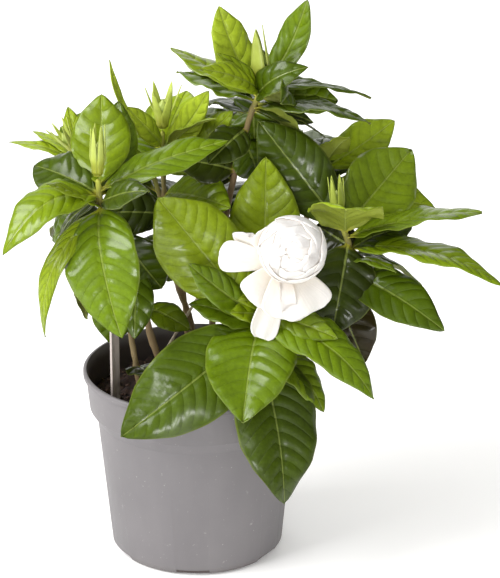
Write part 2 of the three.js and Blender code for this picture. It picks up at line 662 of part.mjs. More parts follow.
// The open bloom as one solid: the tube that it stands on, the packed core of its ball, and its petals with
// their feet sunk into these
function bloom() {
  const foot = vec(BLOOM_HEART).addScaledVector(unit(BLOOM_AXIS), -BLOOM_TUBE);
  const top = vec(BLOOM_HEART).addScaledVector(unit(BLOOM_AXIS), HEART_RISE);
  const tube = taperedBar(new THREE.LineCurve3(foot, top), TUBE_RADII, TUBE_SIDES, TUBE_RADII.length - 1);
  const coreTop = vec(BALL_MIDDLE).addScaledVector(unit(BALL_AXIS), CORE_RISE);
  const core = new THREE.LineCurve3(vec(BLOOM_HEART), coreTop);
  const parts = [solidOf(tube), solidOf(taperedBar(core, CORE_RADII, TUBE_SIDES, CORE_RADII.length - 1))];
  for (const petal of openPetals) {
    const pointAt = (along, across) => openPetalPoint(petal, along, across);
    parts.push(petalBody(PETAL_STATIONS, PETAL_PLACES, pointAt));
  }
  for (const layer of ballLayers) {
    for (const turn of layer.turns) {
      const pointAt = (along, across) => ballPetalPoint(layer, turn, along, across);
      parts.push(petalBody(BALL_STATIONS, PETAL_PLACES, pointAt));
    }
  }
  return wasm.Manifold.union(parts);
}

// Turns a profile drawn in X and Y round the Z axis
function upright(geometry) {
  return geometry.rotateX(Math.PI / 2);
}

function lathe(points, sides) {
  const profile = points.map(([radius, height]) => new THREE.Vector2(radius, height));
  return upright(new THREE.LatheGeometry(profile, sides));
}

// The pot: a turned wall with a rounded foot, a wider collar and a lip, with drain notches round its foot
function pot() {
  const outside = [
    [0, 0],
    [POT_FLAT_RADIUS, 0],
    [POT_CORNER_RADIUS, POT_CORNER_LOW],
    [POT_BASE_RADIUS, POT_CORNER_HIGH],
    [COLLAR_FOOT_RADIUS, COLLAR_FOOT_HEIGHT],
    [COLLAR_RADIUS, COLLAR_HEIGHT],
    [LIP_UNDER_RADIUS, LIP_UNDER_HEIGHT],
    [POT_RIM_RADIUS, LIP_HEIGHT],
    [POT_RIM_RADIUS, POT_HEIGHT - LIP_BEVEL],
    [POT_RIM_RADIUS - LIP_BEVEL, POT_HEIGHT],
  ];
  const inside = [
    [POT_RIM_RADIUS - POT_WALL - LIP_BEVEL / 2, POT_HEIGHT],
    [LIP_UNDER_RADIUS - POT_WALL, LIP_UNDER_HEIGHT - LIP_BEVEL],
    [COLLAR_RADIUS - POT_WALL, COLLAR_HEIGHT + LIP_BEVEL],
    [COLLAR_FOOT_RADIUS - POT_WALL, COLLAR_FOOT_HEIGHT + LIP_BEVEL],
    [POT_BASE_RADIUS - POT_WALL, POT_CORNER_HIGH + POT_CORNER_LOW],
    [POT_FLAT_RADIUS + POT_WALL, POT_FLOOR],
    [0, POT_FLOOR],
  ];
  let solid = solidOf(lathe([...outside, ...inside], POT_SIDES));
  for (let count = 0; count < NOTCH_COUNT; count++) {
    const notch = new THREE.BoxGeometry(NOTCH_LENGTH, NOTCH_WIDTH, 2 * NOTCH_HEIGHT);
    notch.translate(NOTCH_INNER_RADIUS + NOTCH_LENGTH / 2, 0, 0);
    notch.rotateZ(radians(NOTCH_TURN + (360 * count) / NOTCH_COUNT));
    solid = solid.subtract(solidOf(notch));
  }
  return solid;
}

// How far the soil's lumpy top stands above its mean height
function soilRipple(x, y) {
  const broad = Math.sin(SOIL_BROAD_LUMPS[0] * x + 1) * Math.cos(SOIL_BROAD_LUMPS[1] * y);
  const narrow = Math.sin(SOIL_NARROW_LUMPS[0] * x + SOIL_NARROW_LUMPS[1] * y);
  return SOIL_RIPPLE * (broad + SOIL_NARROW_SHARE * narrow);
}

// The soil: it fills the pot to below the rim, with a lumpy top and a plain hole for what stands in it
function soil(standing) {
  const inset = POT_WALL + SIDE_GAP;
  const rise = (SOIL_TOP - COLLAR_HEIGHT) / (LIP_UNDER_HEIGHT - COLLAR_HEIGHT);
  const profile = [
    [0, POT_FLOOR + SEAT_GAP],
    [POT_FLAT_RADIUS, POT_FLOOR + SEAT_GAP],
    [POT_BASE_RADIUS - inset, POT_CORNER_HIGH + POT_CORNER_LOW + SIDE_GAP],
    [COLLAR_FOOT_RADIUS - inset, COLLAR_FOOT_HEIGHT + LIP_BEVEL + SIDE_GAP],
    [COLLAR_RADIUS - inset, COLLAR_HEIGHT + LIP_BEVEL + SIDE_GAP],
    [THREE.MathUtils.lerp(COLLAR_RADIUS, LIP_UNDER_RADIUS, rise) - inset, SOIL_TOP],
    ...SOIL_RINGS.map((radius) => [radius, SOIL_TOP + SIDE_GAP]),
    [0, SOIL_TOP + SIDE_GAP],
  ];
  const geometry = lathe(profile, SOIL_SIDES);
  const position = geometry.attributes.position;
  for (let count = 0; count < position.count; count++) {
    if (position.getZ(count) > SOIL_TOP + SIDE_GAP / 2) {
      position.setZ(count, SOIL_TOP + soilRipple(position.getX(count), position.getY(count)));
    }
  }
  return standing.reduce((solid, hole) => solid.subtract(hole), solidOf(geometry));
}

// The bare plant label: a flat pointed stake on edge to the front. grow widens it all round, for its slot.
function labelBody(grow) {
  const half = LABEL_WIDTH / 2 + grow;
  const outline = new THREE.Shape();
  outline.moveTo(0, -grow);
  outline.lineTo(half, LABEL_POINT);
  outline.lineTo(half, LABEL_LENGTH - LABEL_CORNER);
  outline.quadraticCurveTo(half, LABEL_LENGTH, half - LABEL_CORNER, LABEL_LENGTH);
  outline.lineTo(LABEL_CORNER - half, LABEL_LENGTH);
  outline.quadraticCurveTo(-half, LABEL_LENGTH, -half, LABEL_LENGTH - LABEL_CORNER);
  outline.lineTo(-half, LABEL_POINT);
  const depth = LABEL_THICKNESS + 2 * grow;
  const stake = new THREE.ExtrudeGeometry(outline, { depth, bevelEnabled: false, curveSegments: 3 });
  stake.translate(0, 0, -depth / 2);
  upright(stake);
  stake.rotateZ(radians(LABEL_TURN));
  stake.translate(LABEL_MIDDLE[0], LABEL_MIDDLE[1], LABEL_FOOT);
  return stake;
}

function caneBody(grow) {
  const line = new THREE.LineCurve3(vec(CANE_FOOT), vec(CANE_TOP));
  return taperedBar(line, [CANE_RADIUS + grow, CANE_RADIUS + grow], CANE_SIDES, 1);
}

// The hole that a stem stands in: the stem itself, wider by the gap and a little deeper
function stemHole(shoot) {
  const radii = shoot.radii.map((radius) => radius + SEAT_GAP);
  const [[x, y, foot], ...above] = shoot.route;
  const route = [[x, y, foot - SEAT_GAP], ...above];
  return solidOf(taperedBar(stemCurve(route), radii, STEM_SIDES, stemSteps(shoot)));
}

const plant = new THREE.Group();

// Adds a piece where it stands, on its own foot and leaning if need be
function place(name, geometry, material, foot = [0, 0, 0], lean = [0, 0, 1]) {
  const mesh = new THREE.Mesh(geometry, material.clone());
  mesh.name = name;
  mesh.position.set(...foot);
  mesh.quaternion.setFromUnitVectors(new THREE.Vector3(0, 0, 1), unit(lean));
  plant.add(mesh);
}

const standing = [solidOf(labelBody(SEAT_GAP)), solidOf(caneBody(SEAT_GAP)), ...shoots.map(stemHole)];
place("pot", geometryOf(pot()), potPlastic);
place("soil", geometryOf(soil(standing)), soilEarth);
place("plant_label", labelBody(0), labelPlastic);
place("thin_cane", caneBody(0), caneWood);
for (const shoot of shoots) place(shoot.name, geometryOf(leafyStem(shoot)), leafGreen);
for (const bud of buds) place(bud.name, geometryOf(flowerBud(bud)), budGreen, bud.foot, bud.lean);
place("bloom", geometryOf(bloom()), petalWhite);

export default plant;
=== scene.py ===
"""A potted gardenia: glossy quilted leaves, green buds, one open double flower, a nursery pot with soil.

Lengths in the tables are millimetres, as on the solids. MM turns them into metres in the meshes.
"""
import math
import random
from dataclasses import dataclass

import bmesh
import bpy
from mathutils import Matrix, Vector, noise


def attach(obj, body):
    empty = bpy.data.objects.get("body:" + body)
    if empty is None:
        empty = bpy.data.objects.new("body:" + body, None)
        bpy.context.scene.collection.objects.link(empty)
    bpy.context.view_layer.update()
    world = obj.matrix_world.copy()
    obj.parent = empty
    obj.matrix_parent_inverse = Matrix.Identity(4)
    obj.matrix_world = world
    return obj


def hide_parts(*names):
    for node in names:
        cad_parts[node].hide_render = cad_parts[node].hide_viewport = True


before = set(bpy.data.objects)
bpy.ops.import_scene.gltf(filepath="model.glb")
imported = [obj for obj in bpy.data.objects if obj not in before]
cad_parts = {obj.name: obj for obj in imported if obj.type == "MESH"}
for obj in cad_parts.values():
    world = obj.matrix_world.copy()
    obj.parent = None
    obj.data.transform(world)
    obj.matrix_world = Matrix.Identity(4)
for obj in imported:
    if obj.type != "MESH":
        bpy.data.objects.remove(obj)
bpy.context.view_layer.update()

MM = 0.001
TURN = 2 * math.pi

# The photograph's camera: what it aims at, how high it looks down from, how far off it stands
AIM = Vector((31.0, 0.0, 157.5)) * MM
CAMERA_HEIGHT = math.radians(21.5)
CAMERA_DISTANCE = 1500 * MM
CAMERA_LENS = 164.2
CAMERA_SENSOR = 36

# The studio: the strength of its even light, of the white behind the plant, of the dim walls that gloss mirrors,
# and of the floor's own glow, then half the floor's side in metres
AMBIENT = 0.76
BACKDROP = 1.0
DARK_WALLS = 0.04
FLOOR_GLOW = 0.12
FLOOR_REACH = 6

# Pot, as on its solid
POT_RIM_RADIUS = 65
POT_HEIGHT = 110
POT_WALL = 1.5
POT_FLOOR = 2.2
POT_BASE_RADIUS = 49.8
POT_FLAT_RADIUS = 44.3
POT_CORNER_RADIUS = 48.2
POT_CORNER_LOW = 0.9
POT_CORNER_HIGH = 3.4
COLLAR_FOOT_RADIUS = 57.2
COLLAR_FOOT_HEIGHT = 80.5
COLLAR_RADIUS = 61.6
COLLAR_HEIGHT = 87.5
LIP_UNDER_RADIUS = 63.4
LIP_UNDER_HEIGHT = 106
LIP_HEIGHT = 107
LIP_BEVEL = 0.7
NOTCH_COUNT = 6
NOTCH_WIDTH = 19
NOTCH_HEIGHT = 3.6
NOTCH_LENGTH = 8
NOTCH_INNER_RADIUS = 46.4
NOTCH_TURN = math.radians(-92)
POT_STEPS = 144

# Soil, label and cane, as on their solids, with the crumbs and the border that only the finer pieces have
SOIL_TOP = 93
SOIL_RIPPLE = 1.6
SOIL_INSET = 2.0
SOIL_STEPS = (100, 120)
SOIL_TOP_SHARE = 0.8
CRUMB_COUNT = 420
CRUMB_ROUGHNESS = 0.22
LABEL_LENGTH = 84
LABEL_WIDTH = 14
LABEL_THICKNESS = 1.2
LABEL_POINT = 14
LABEL_CORNER = 3
LABEL_BORDER = 0.9
LABEL_STEP = 0.12
LABEL_MIDDLE = Vector((-45.6, -19.5, 68))
LABEL_TURN = math.radians(75.5)
CANE_RADIUS = 0.9
CANE_FOOT = Vector((-37, 14, 80))
CANE_TOP = Vector((2, 16, 148))
CANE_STEPS = 40
CANE_SIDES = 14

# Stems: how thick their joints swell, as a share of the stem, over what share of its length, and where the rounded
# end starts
STEM_STEPS = 90
STEM_SIDES = 14
JOINT_SWELLING = 0.22
JOINT_LENGTH = 0.018
STEM_END = 0.985

# Leaves, as on their solids, then what is only on the finer ones
LEAF_CROWN = 0.45
LEAF_SHOULDER = 0.96
LEAF_FULLNESS = 0.66
LEAF_CURL = 0.1
LEAF_WAVE = 0.05
LEAF_WAVES = 2.4
LEFT_WAVE_START = 2.6
RIGHT_WAVE_START = 0.9
LEAF_STALK = 0.048
STALK_HALF_WIDTH = 1.1
TIP_HALF_WIDTH = 0.4
BLADE_THICKNESS = 0.5
TIP_SHARPENING = 0.25
VEIN_SPACING = 7.5
VEIN_SWEEP = 0.2
VEIN_BEND = 1.5
QUILT = 0.02
RIB_GROOVE = 0.5
RIB_GROOVE_WIDTH = 1.6
LEAF_RIPPLE = 0.014
LEAF_RIPPLES = 7
LEAF_SWAY = 0.05
LEAF_TWIST = 9
LEAF_STEPS = (54, 18)
SMALL_LEAF_STEPS = (30, 10)
SMALL_LEAF_WIDTH = 17

# Flower: its heart, its axes and the ball's middle as on its solid, and how the finer petals roll, ruffle and curl
BLOOM_HEART = Vector((50, -39, 188))
BLOOM_AXIS = Vector((0.05, -0.88, 0.45)).normalized()
BLOOM_TUBE = 13.4
PETAL_ROLL = math.radians(9)
PETAL_RUFFLE = 0.05
PETAL_SWAY = 0.1
PETAL_CURL = 0.2
PETAL_CURL_START = 0.72
PETAL_STEPS = (26, 20)
BALL_AXIS = Vector((-0.1, -0.95, 0.25)).normalized()
BALL_MIDDLE = Vector((54.3, -49, 200))
BALL_FOOT = 0.4
BALL_SPIRAL = 0.02
BALL_FLARE = 0.2
BALL_TAPER = 0.55
BALL_CORE_RADIUS = 15.85
BALL_STEPS = (28, 20)
PETAL_THICKNESS = 0.45

# Buds: the radius from foot to tip as a share of the width, as on the solid, how slim the calyx is in it, and how
# high the calyx and the rolled petals reach, as shares of the height
BUD_PROFILE = (0.26, 0.34, 0.5, 0.44, 0.14)
CALYX_SLIMNESS = 0.84
CALYX_TOP = 0.44
ROLLED_SLIMNESS = 0.74
ROLLED_FOOT = 0.25
ROLLED_HEIGHT = 0.42
SEPAL_THICKNESS = 0.5

SKYWARD = (0, 0, 1)
TILTED = (0, -0.35, 0.95)
FORWARD = (0, -1, 0.3)
HALF_FORWARD = (0, -0.7, 0.7)
LEFT_FORWARD = (-0.5, -0.8, 0.3)
LEFTWARD = (-1, -0.2, 0.4)
LEFT_SKYWARD = (-0.35, 0, 1)
RIGHT_FORWARD = (0.5, -0.8, 0.3)
BACKWARD = (0, 0.7, 0.7)


@dataclass
class Leaf:
    """One leaf: its place on the stem, tip, greatest width, and age from 0 or less, old and dark, to 1, young.

    Its upper side turns as far as it can to face. It arches by a share of its length, and each half rises by its fold
    in degrees. The higher its shoulder, the nearer to its tip it is widest. Its age also carries painted light and
    shade besides its real age: set paler to stand in for sheen and haze, darker where the leaf lies in shade.
    """

    place: float
    tip: tuple
    wide: float
    age: float
    face: tuple = SKYWARD
    arch: float = 0.09
    fold: float = 13
    shoulder: float = LEAF_SHOULDER


@dataclass
class Shoot:
    """A stem's radii and route from its foot up, its leaves, how far up its bark is brown, and how tan it is."""

    name: str
    radii: tuple
    route: list
    leaves: list
    bark: float = 0.75
    tan: float = 0.1


# Each leaf's age also carries painted light and shade: set paler for sheen and haze, darker in shade
SHOOTS = [
    Shoot("left", (2.5, 1.7, 1.5), [
        (-17, 6, 74), (-20, 6, 105), (-27, 5, 130), (-30, 4, 160), (-42, -8, 192), (-51, -17, 212), (-53, -20, 231)
    ], [
        Leaf(5.7, (-52, 14, 269), 35, 0.61, arch=-0.1, shoulder=1.15),
        Leaf(5.5, (-90, 5, 230), 29, 0.3, HALF_FORWARD, shoulder=1.25),
        Leaf(5.4, (-104, -50, 197), 29, 0.6, TILTED, arch=0.27, shoulder=0.8),
        Leaf(5.0, (-79, -50, 238), 15, 0.72, TILTED, arch=0.04),
        Leaf(5.6, (19, -5, 248), 25, 0.51, TILTED, arch=0.05),
        Leaf(5.2, (-24, -44, 232), 20, 0.2, HALF_FORWARD),
        Leaf(5.15, (-39, -62, 153), 44, 0.48, LEFT_SKYWARD, arch=0.16, shoulder=0.85),
        Leaf(5.0, (-84, -32, 141), 14, 0.75, LEFT_FORWARD, arch=0.28, shoulder=0.7),
        Leaf(4.8, (-81, 6, 185), 26, 0.35, LEFTWARD),
        Leaf(4.5, (-62, -10, 143), 32, 0.15, arch=0.1),
        Leaf(5.4, (-44, 26, 218), 34, 0.2),
        Leaf(4.2, (-19, 2, 157), 32, 0.2, FORWARD, shoulder=1.2),
        Leaf(3.3, (-34, -22, 136), 22, 0.34, arch=0.12),
        Leaf(2.5, (-3, -6, 135), 17, 0.6, HALF_FORWARD),
    ], tan=0.9),
    Shoot("low_left", (2.1, 1.3), [
        (-30, -4, 74), (-33, -1, 100), (-38, 6, 130), (-42, 12, 160), (-43, 14, 172)
    ], [
        Leaf(3.6, (-49, 6, 121), 30, 0.35, FORWARD, arch=0.1),
        Leaf(1.3, (-24, -25, 112), 22, 0.1),
        Leaf(3.9, (-78, 28, 160), 32, 0.1),
        Leaf(3.8, (-62, 30, 190), 24, 0.12),
    ], bark=0.95),
    Shoot("far_left", (2.2, 1.3), [
        (-16, 34, 74), (-26, 38, 110), (-42, 44, 160), (-60, 46, 200), (-69, 45, 222)
    ], [
        Leaf(3.7, (-109, 62, 225), 12, 0.82),
        Leaf(3.85, (-96, 72, 228), 12, 0.82),
        Leaf(3.55, (-75, 70, 244), 13, 0.84, HALF_FORWARD),
        Leaf(3.7, (-66, 90, 234), 28, 0.4),
        Leaf(3.3, (-48, 80, 208), 30, 0.3),
        Leaf(3.0, (-82, 40, 175), 30, 0.2, arch=0.14),
        Leaf(2.4, (-86, 82, 158), 36, 0.18, arch=0.14),
    ]),
    Shoot("middle", (2.3, 1.3), [
        (1, 20, 74), (-3, 22, 125), (-12, 26, 155), (-18, 34, 200), (-19, 39, 240)
    ], [
        Leaf(3.7, (-49, 54, 277), 7, 1, arch=-0.14),
        Leaf(3.75, (-38, 18, 260), 15, 1, HALF_FORWARD, arch=0.02),
        Leaf(3.6, (8, 20, 269), 18, 1, HALF_FORWARD, arch=-0.03),
        Leaf(3.6, (-6, 78, 251), 30, 0.78),
        Leaf(3.6, (12, 8, 257), 18, 0.68),
        Leaf(3.35, (21, 16, 258), 28, 0.7, HALF_FORWARD, arch=-0.04),
        Leaf(3.7, (24, 62, 244), 30, 0.3),
        Leaf(3.05, (20, -13, 211), 34, 0.58, HALF_FORWARD),
        Leaf(3.5, (-42, 88, 230), 32, 0.52),
        Leaf(2.0, (-6, 66, 178), 28, 0.2),
    ]),
    Shoot("top", (2.4, 1.4), [
        (6, 6, 74), (10, 12, 140), (18, 16, 200), (30, 15, 252), (38, 14, 273)
    ], [
        Leaf(3.7, (14, 22, 317), 26, 0.95, RIGHT_FORWARD, arch=-0.09),
        Leaf(3.75, (63, 26, 320), 20, 0.5, LEFT_FORWARD, arch=-0.1, shoulder=1.2),
        Leaf(3.55, (63, -4, 290), 20, 0.28, HALF_FORWARD, arch=0.2, fold=24),
        Leaf(3.7, (-14, 44, 287), 24, 0.7, arch=0.01),
        Leaf(3.5, (-10, 24, 279), 33, 0.42, arch=0.05),
        Leaf(3.85, (4, -18, 293), 18, 0.8, HALF_FORWARD),
        Leaf(3.6, (48, -22, 275), 19, 0.26, RIGHT_FORWARD, arch=0.3),
        Leaf(3.3, (34, 24, 228), 32, 0.36, FORWARD, arch=0.02),
        Leaf(3.5, (60, 20, 238), 20, 0.62, BACKWARD, arch=0.02),
        Leaf(3.8, (100, 42, 258), 18, 0.42),
        Leaf(3.65, (81, 40, 257), 26, 0.48, HALF_FORWARD),
        Leaf(3.3, (98, -2, 257), 29, 0.25),
        Leaf(3.2, (74, 34, 237), 15, 0.0),
        Leaf(3.7, (30, 66, 282), 26, 0.45),
        Leaf(3.1, (44, 60, 252), 32, 0.3),
        Leaf(3.1, (12, 70, 246), 28, 0.1),
        Leaf(1.9, (16, 62, 202), 30, 0.2),
        Leaf(1.3, (10, 64, 142), 28, 0.15, arch=0.12),
    ]),
    Shoot("bloom", (2.3, 1.8, 1.8, 2.4), [
        (14, -14, 74), (22, -22, 112), (31, -31, 138), (37, -35, 152), (42, -31, 165), (48.8, -25, 179.4)
    ], [
        Leaf(3.3, (40, -2, 237), 44, 0.73, FORWARD, arch=-0.16),
        Leaf(2.9, (-20, -24, 221), 48, 0.74, FORWARD, arch=-0.08, shoulder=1.3),
        Leaf(3.1, (-3, -42, 189), 20, 0.48, HALF_FORWARD, arch=-0.04),
        Leaf(3.2, (20, -50, 163), 14, 0.66, HALF_FORWARD),
        Leaf(2.9, (27, -90, 115), 52, 0.47, arch=0.13, shoulder=0.85),
        Leaf(2.7, (-40, -74, 99), 50, 0.28, FORWARD, arch=0.12),
        Leaf(2.2, (50, -80, 61), 50, 0.2, arch=0.14),
        Leaf(2.9, (99, -70, 120), 32, 0.48, TILTED, arch=0.21, shoulder=0.88),
        Leaf(3.3, (79, -60, 152), 20, 0.55, HALF_FORWARD),
        Leaf(3.4, (46, -60, 143), 16, 0.75),
        Leaf(2.0, (72, -54, 105), 30, 0.56, arch=0.14),
        Leaf(2.5, (-35, -70, 97), 34, 0.14, HALF_FORWARD, arch=0.08, fold=5),
    ], bark=0.5),
    Shoot("right", (2.3, 1.4), [
        (26, 2, 74), (46, 0, 112), (70, -1, 145), (87, -5, 178), (81, -7, 203)
    ], [
        Leaf(3.7, (36, 10, 254), 38, 0.2, FORWARD, arch=-0.06, shoulder=1.15),
        Leaf(3.6, (83, -48, 223), 46, 0.85, fold=22, arch=0.05),
        Leaf(3.7, (123, 30, 231), 43, 0.58, FORWARD, arch=-0.05, shoulder=1.2),
        Leaf(3.5, (160, -16, 210), 30, 0.56, arch=0.05),
        Leaf(3.2, (171, -34, 173), 33, 0.62, arch=0.11, shoulder=0.85),
        Leaf(2.95, (112, -34, 181), 14, 0.52),
        Leaf(3.1, (132, 14, 145), 22, 0.3, arch=0.14),
        Leaf(2.7, (139, -42, 149), 30, 0.32, HALF_FORWARD, arch=0.13),
        Leaf(3.4, (77, -30, 142), 42, 0.08, FORWARD, arch=0.1),
        Leaf(2.4, (96, -14, 118), 32, -0.12, FORWARD, arch=0.1),
    ]),
    Shoot("right_back", (2.2, 1.3), [
        (22, 22, 74), (42, 28, 130), (62, 30, 185), (72, 28, 222)
    ], [
        Leaf(2.9, (88, 34, 237), 24, 1, BACKWARD),
        Leaf(2.95, (114, 50, 242), 27, 0.72, HALF_FORWARD, arch=-0.06, shoulder=1.2),
        Leaf(2.9, (74, 58, 229), 20, 0.3),
        Leaf(2.5, (137, 30, 196), 32, 0.68, HALF_FORWARD),
        Leaf(2.6, (87, 84, 216), 34, 0.3),
        Leaf(2.2, (120, 70, 184), 36, 0.2, arch=0.14),
        Leaf(1.8, (100, 46, 140), 36, 0.12, arch=0.14),
    ]),
    Shoot("back_left", (2.1, 1.3), [
        (-6, 44, 74), (-7, 54, 120), (-16, 67, 168), (-30, 77, 212)
    ], [
        Leaf(2.9, (-52, 104, 232), 28, 0.6),
        Leaf(2.95, (-14, 108, 238), 28, 0.7),
        Leaf(2.85, (-76, 104, 224), 32, 0.4),
        Leaf(2.8, (-32, 138, 206), 36, 0.42),
        Leaf(2.7, (6, 112, 206), 32, 0.3),
        Leaf(2.5, (-90, 100, 182), 36, 0.25, arch=0.14),
        Leaf(2.3, (-10, 132, 172), 36, 0.3, arch=0.14),
        Leaf(2.2, (-58, 128, 160), 36, 0.2, arch=0.14),
        Leaf(1.9, (-64, 78, 128), 34, 0.12, arch=0.14),
        Leaf(1.8, (-12, 108, 122), 37, 0.2, arch=0.14),
    ]),
    Shoot("back_right", (2.1, 1.3), [
        (16, 42, 74), (26, 54, 120), (38, 66, 170), (44, 74, 214)
    ], [
        Leaf(2.95, (56, 98, 256), 26, 0.75),
        Leaf(2.9, (16, 104, 238), 30, 0.5),
        Leaf(2.85, (88, 108, 212), 34, 0.4),
        Leaf(2.8, (48, 138, 210), 36, 0.42),
        Leaf(2.5, (110, 96, 176), 36, 0.25, arch=0.14),
        Leaf(2.4, (20, 126, 170), 36, 0.2, arch=0.14),
        Leaf(2.3, (72, 130, 158), 37, 0.3, arch=0.14),
        Leaf(1.9, (86, 60, 118), 34, 0.1, arch=0.14),
        Leaf(1.8, (34, 114, 112), 37, 0.15, arch=0.14),
    ]),
]


# Leaves that only the finer pieces have, by the name of their shoot; most are set dark, partly as painted shade
INNER_LEAVES = {
    "left": [
        Leaf(5.5, (-43, 26, 261), 30, 0.44, arch=-0.1, shoulder=1.1),
        Leaf(5.35, (-76, -8, 193), 13, 0.1, LEFTWARD),
    ],
    "middle": [
        Leaf(2.8, (-51, 34, 191), 30, 0.08, HALF_FORWARD),
        Leaf(2.2, (-26, 18, 163), 24, 0.12, HALF_FORWARD),
    ],
    "top": [
        Leaf(2.4, (-12, 12, 231), 26, 0.04, HALF_FORWARD),
        Leaf(2.9, (8, -10, 236), 24, 0.1, HALF_FORWARD),
        Leaf(3.9, (13, 2, 296), 10, 0.66, HALF_FORWARD),
        Leaf(2.75, (36, 22, 217), 26, 0.28, HALF_FORWARD),
        Leaf(2.3, (9, 26, 221), 26, 0.0, HALF_FORWARD),
        Leaf(3.3, (67, 30, 247), 13, 0.1, HALF_FORWARD),
    ],
    "bloom": [
        Leaf(2.75, (-3, -34, 162), 26, 0.42, TILTED),
        Leaf(3.6, (24, -54, 172), 11, 0.72, HALF_FORWARD),
    ],
    "right": [
        Leaf(3.3, (69, 14, 191), 34, 0.0, FORWARD),
        Leaf(3.2, (123, 10, 191), 24, 0.14, TILTED),
        Leaf(3.1, (76, 6, 187), 26, 0.0, FORWARD),
    ],
}


@dataclass
class Bud:
    """One unopened bud, as on its solid: sepal is the half width of each of its sepals, pale how pale it is."""

    name: str
    foot: tuple
    lean: tuple
    height: float
    wide: float
    spread: float
    sepal: float
    sepals: int = 6
    pale: float = 1.0


BUDS = [
    Bud("left", (-53.1, -20.1, 231.9), (0.03, -0.04, 1), 31, 10, 0.4, 1.9, pale=0.9),
    Bud("far_left", (-69.4, 45, 222.8), (-0.45, -0.15, 0.85), 24, 7, 1.1, 1.4),
    Bud("middle", (-19, 39.1, 240.6), (0.02, -0.08, 1), 27, 10, 1.1, 2.6),
    Bud("top", (38.2, 14, 274.1), (-0.08, -0.08, 1), 36, 9, 0.3, 4.0, sepals=3, pale=0.74),
    Bud("right", (80.9, -7.1, 203.4), (-0.1, -0.05, 1), 25, 9, 0.5, 2.0),
]

# The flower's open petals from the outside in: the turn round its axis (0 right, 90 back), length, width, angle
# from the axis at foot and tip, cup across, and how far back the corners of the tip lie
OPEN_PETALS = [
    (172, 36.5, 19, 74, 89, 0.12, 0.02),
    (152, 33, 13, 76, 84, 0.1, 0.34),
    (252, 43, 17, 78, 98, 0.12, 0.0),
    (231, 28.5, 27, 72, 90, 0.15, 0.04),
    (300, 31.5, 33, 70, 90, 0.12, 0.0),
    (262, 32, 22, 64, 84, 0.2, 0.02),
    (124, 26, 20, 66, 44, 0.25, 0.03),
]

# The petals that are still closed in a ball: their turns, half the angle that each takes round the ball, their
# distance from its middle, and the angle from its axis where they end
BALL_LAYERS = [
    ((70, 352, 282, 205, 140), 55, 18.2, 60),
    ((30, 120, 216, 300), 62, 17.7, 46),
    ((350, 80, 170, 262), 60, 17.2, 33),
    ((64, 178, 300), 70, 16.7, 20),
    ((0, 128, 240), 97, 16.2, 5),
]


# Shader building

def feed(tree, socket, value):
    """Links a signal to a socket, or sets the socket's own value."""
    if isinstance(value, Signal):
        tree.links.new(value.socket, socket)
    elif socket.type == "RGBA" and len(value) == 3:
        socket.default_value = (*value, 1)
    else:
        socket.default_value = value


class Signal:
    """A shader socket whose arithmetic adds Math nodes."""

    def __init__(self, tree, socket):
        self.tree = tree
        self.socket = socket

    def math(self, operation, *others):
        node = self.tree.nodes.new("ShaderNodeMath")
        node.operation = operation
        for socket, value in zip(node.inputs, (self, *others)):
            feed(self.tree, socket, value)
        return Signal(self.tree, node.outputs[0])

    def __add__(self, other):
        return self.math("ADD", other)

    def __sub__(self, other):
        return self.math("SUBTRACT", other)

    def __rsub__(self, other):
        return self * -1 + other

    def __mul__(self, other):
        return self.math("MULTIPLY", other)

    def __truediv__(self, other):
        return self.math("DIVIDE", other)

    def __pow__(self, other):
        return self.math("POWER", other)

    def __abs__(self):
        return self.math("ABSOLUTE")

    __radd__ = __add__
    __rmul__ = __mul__


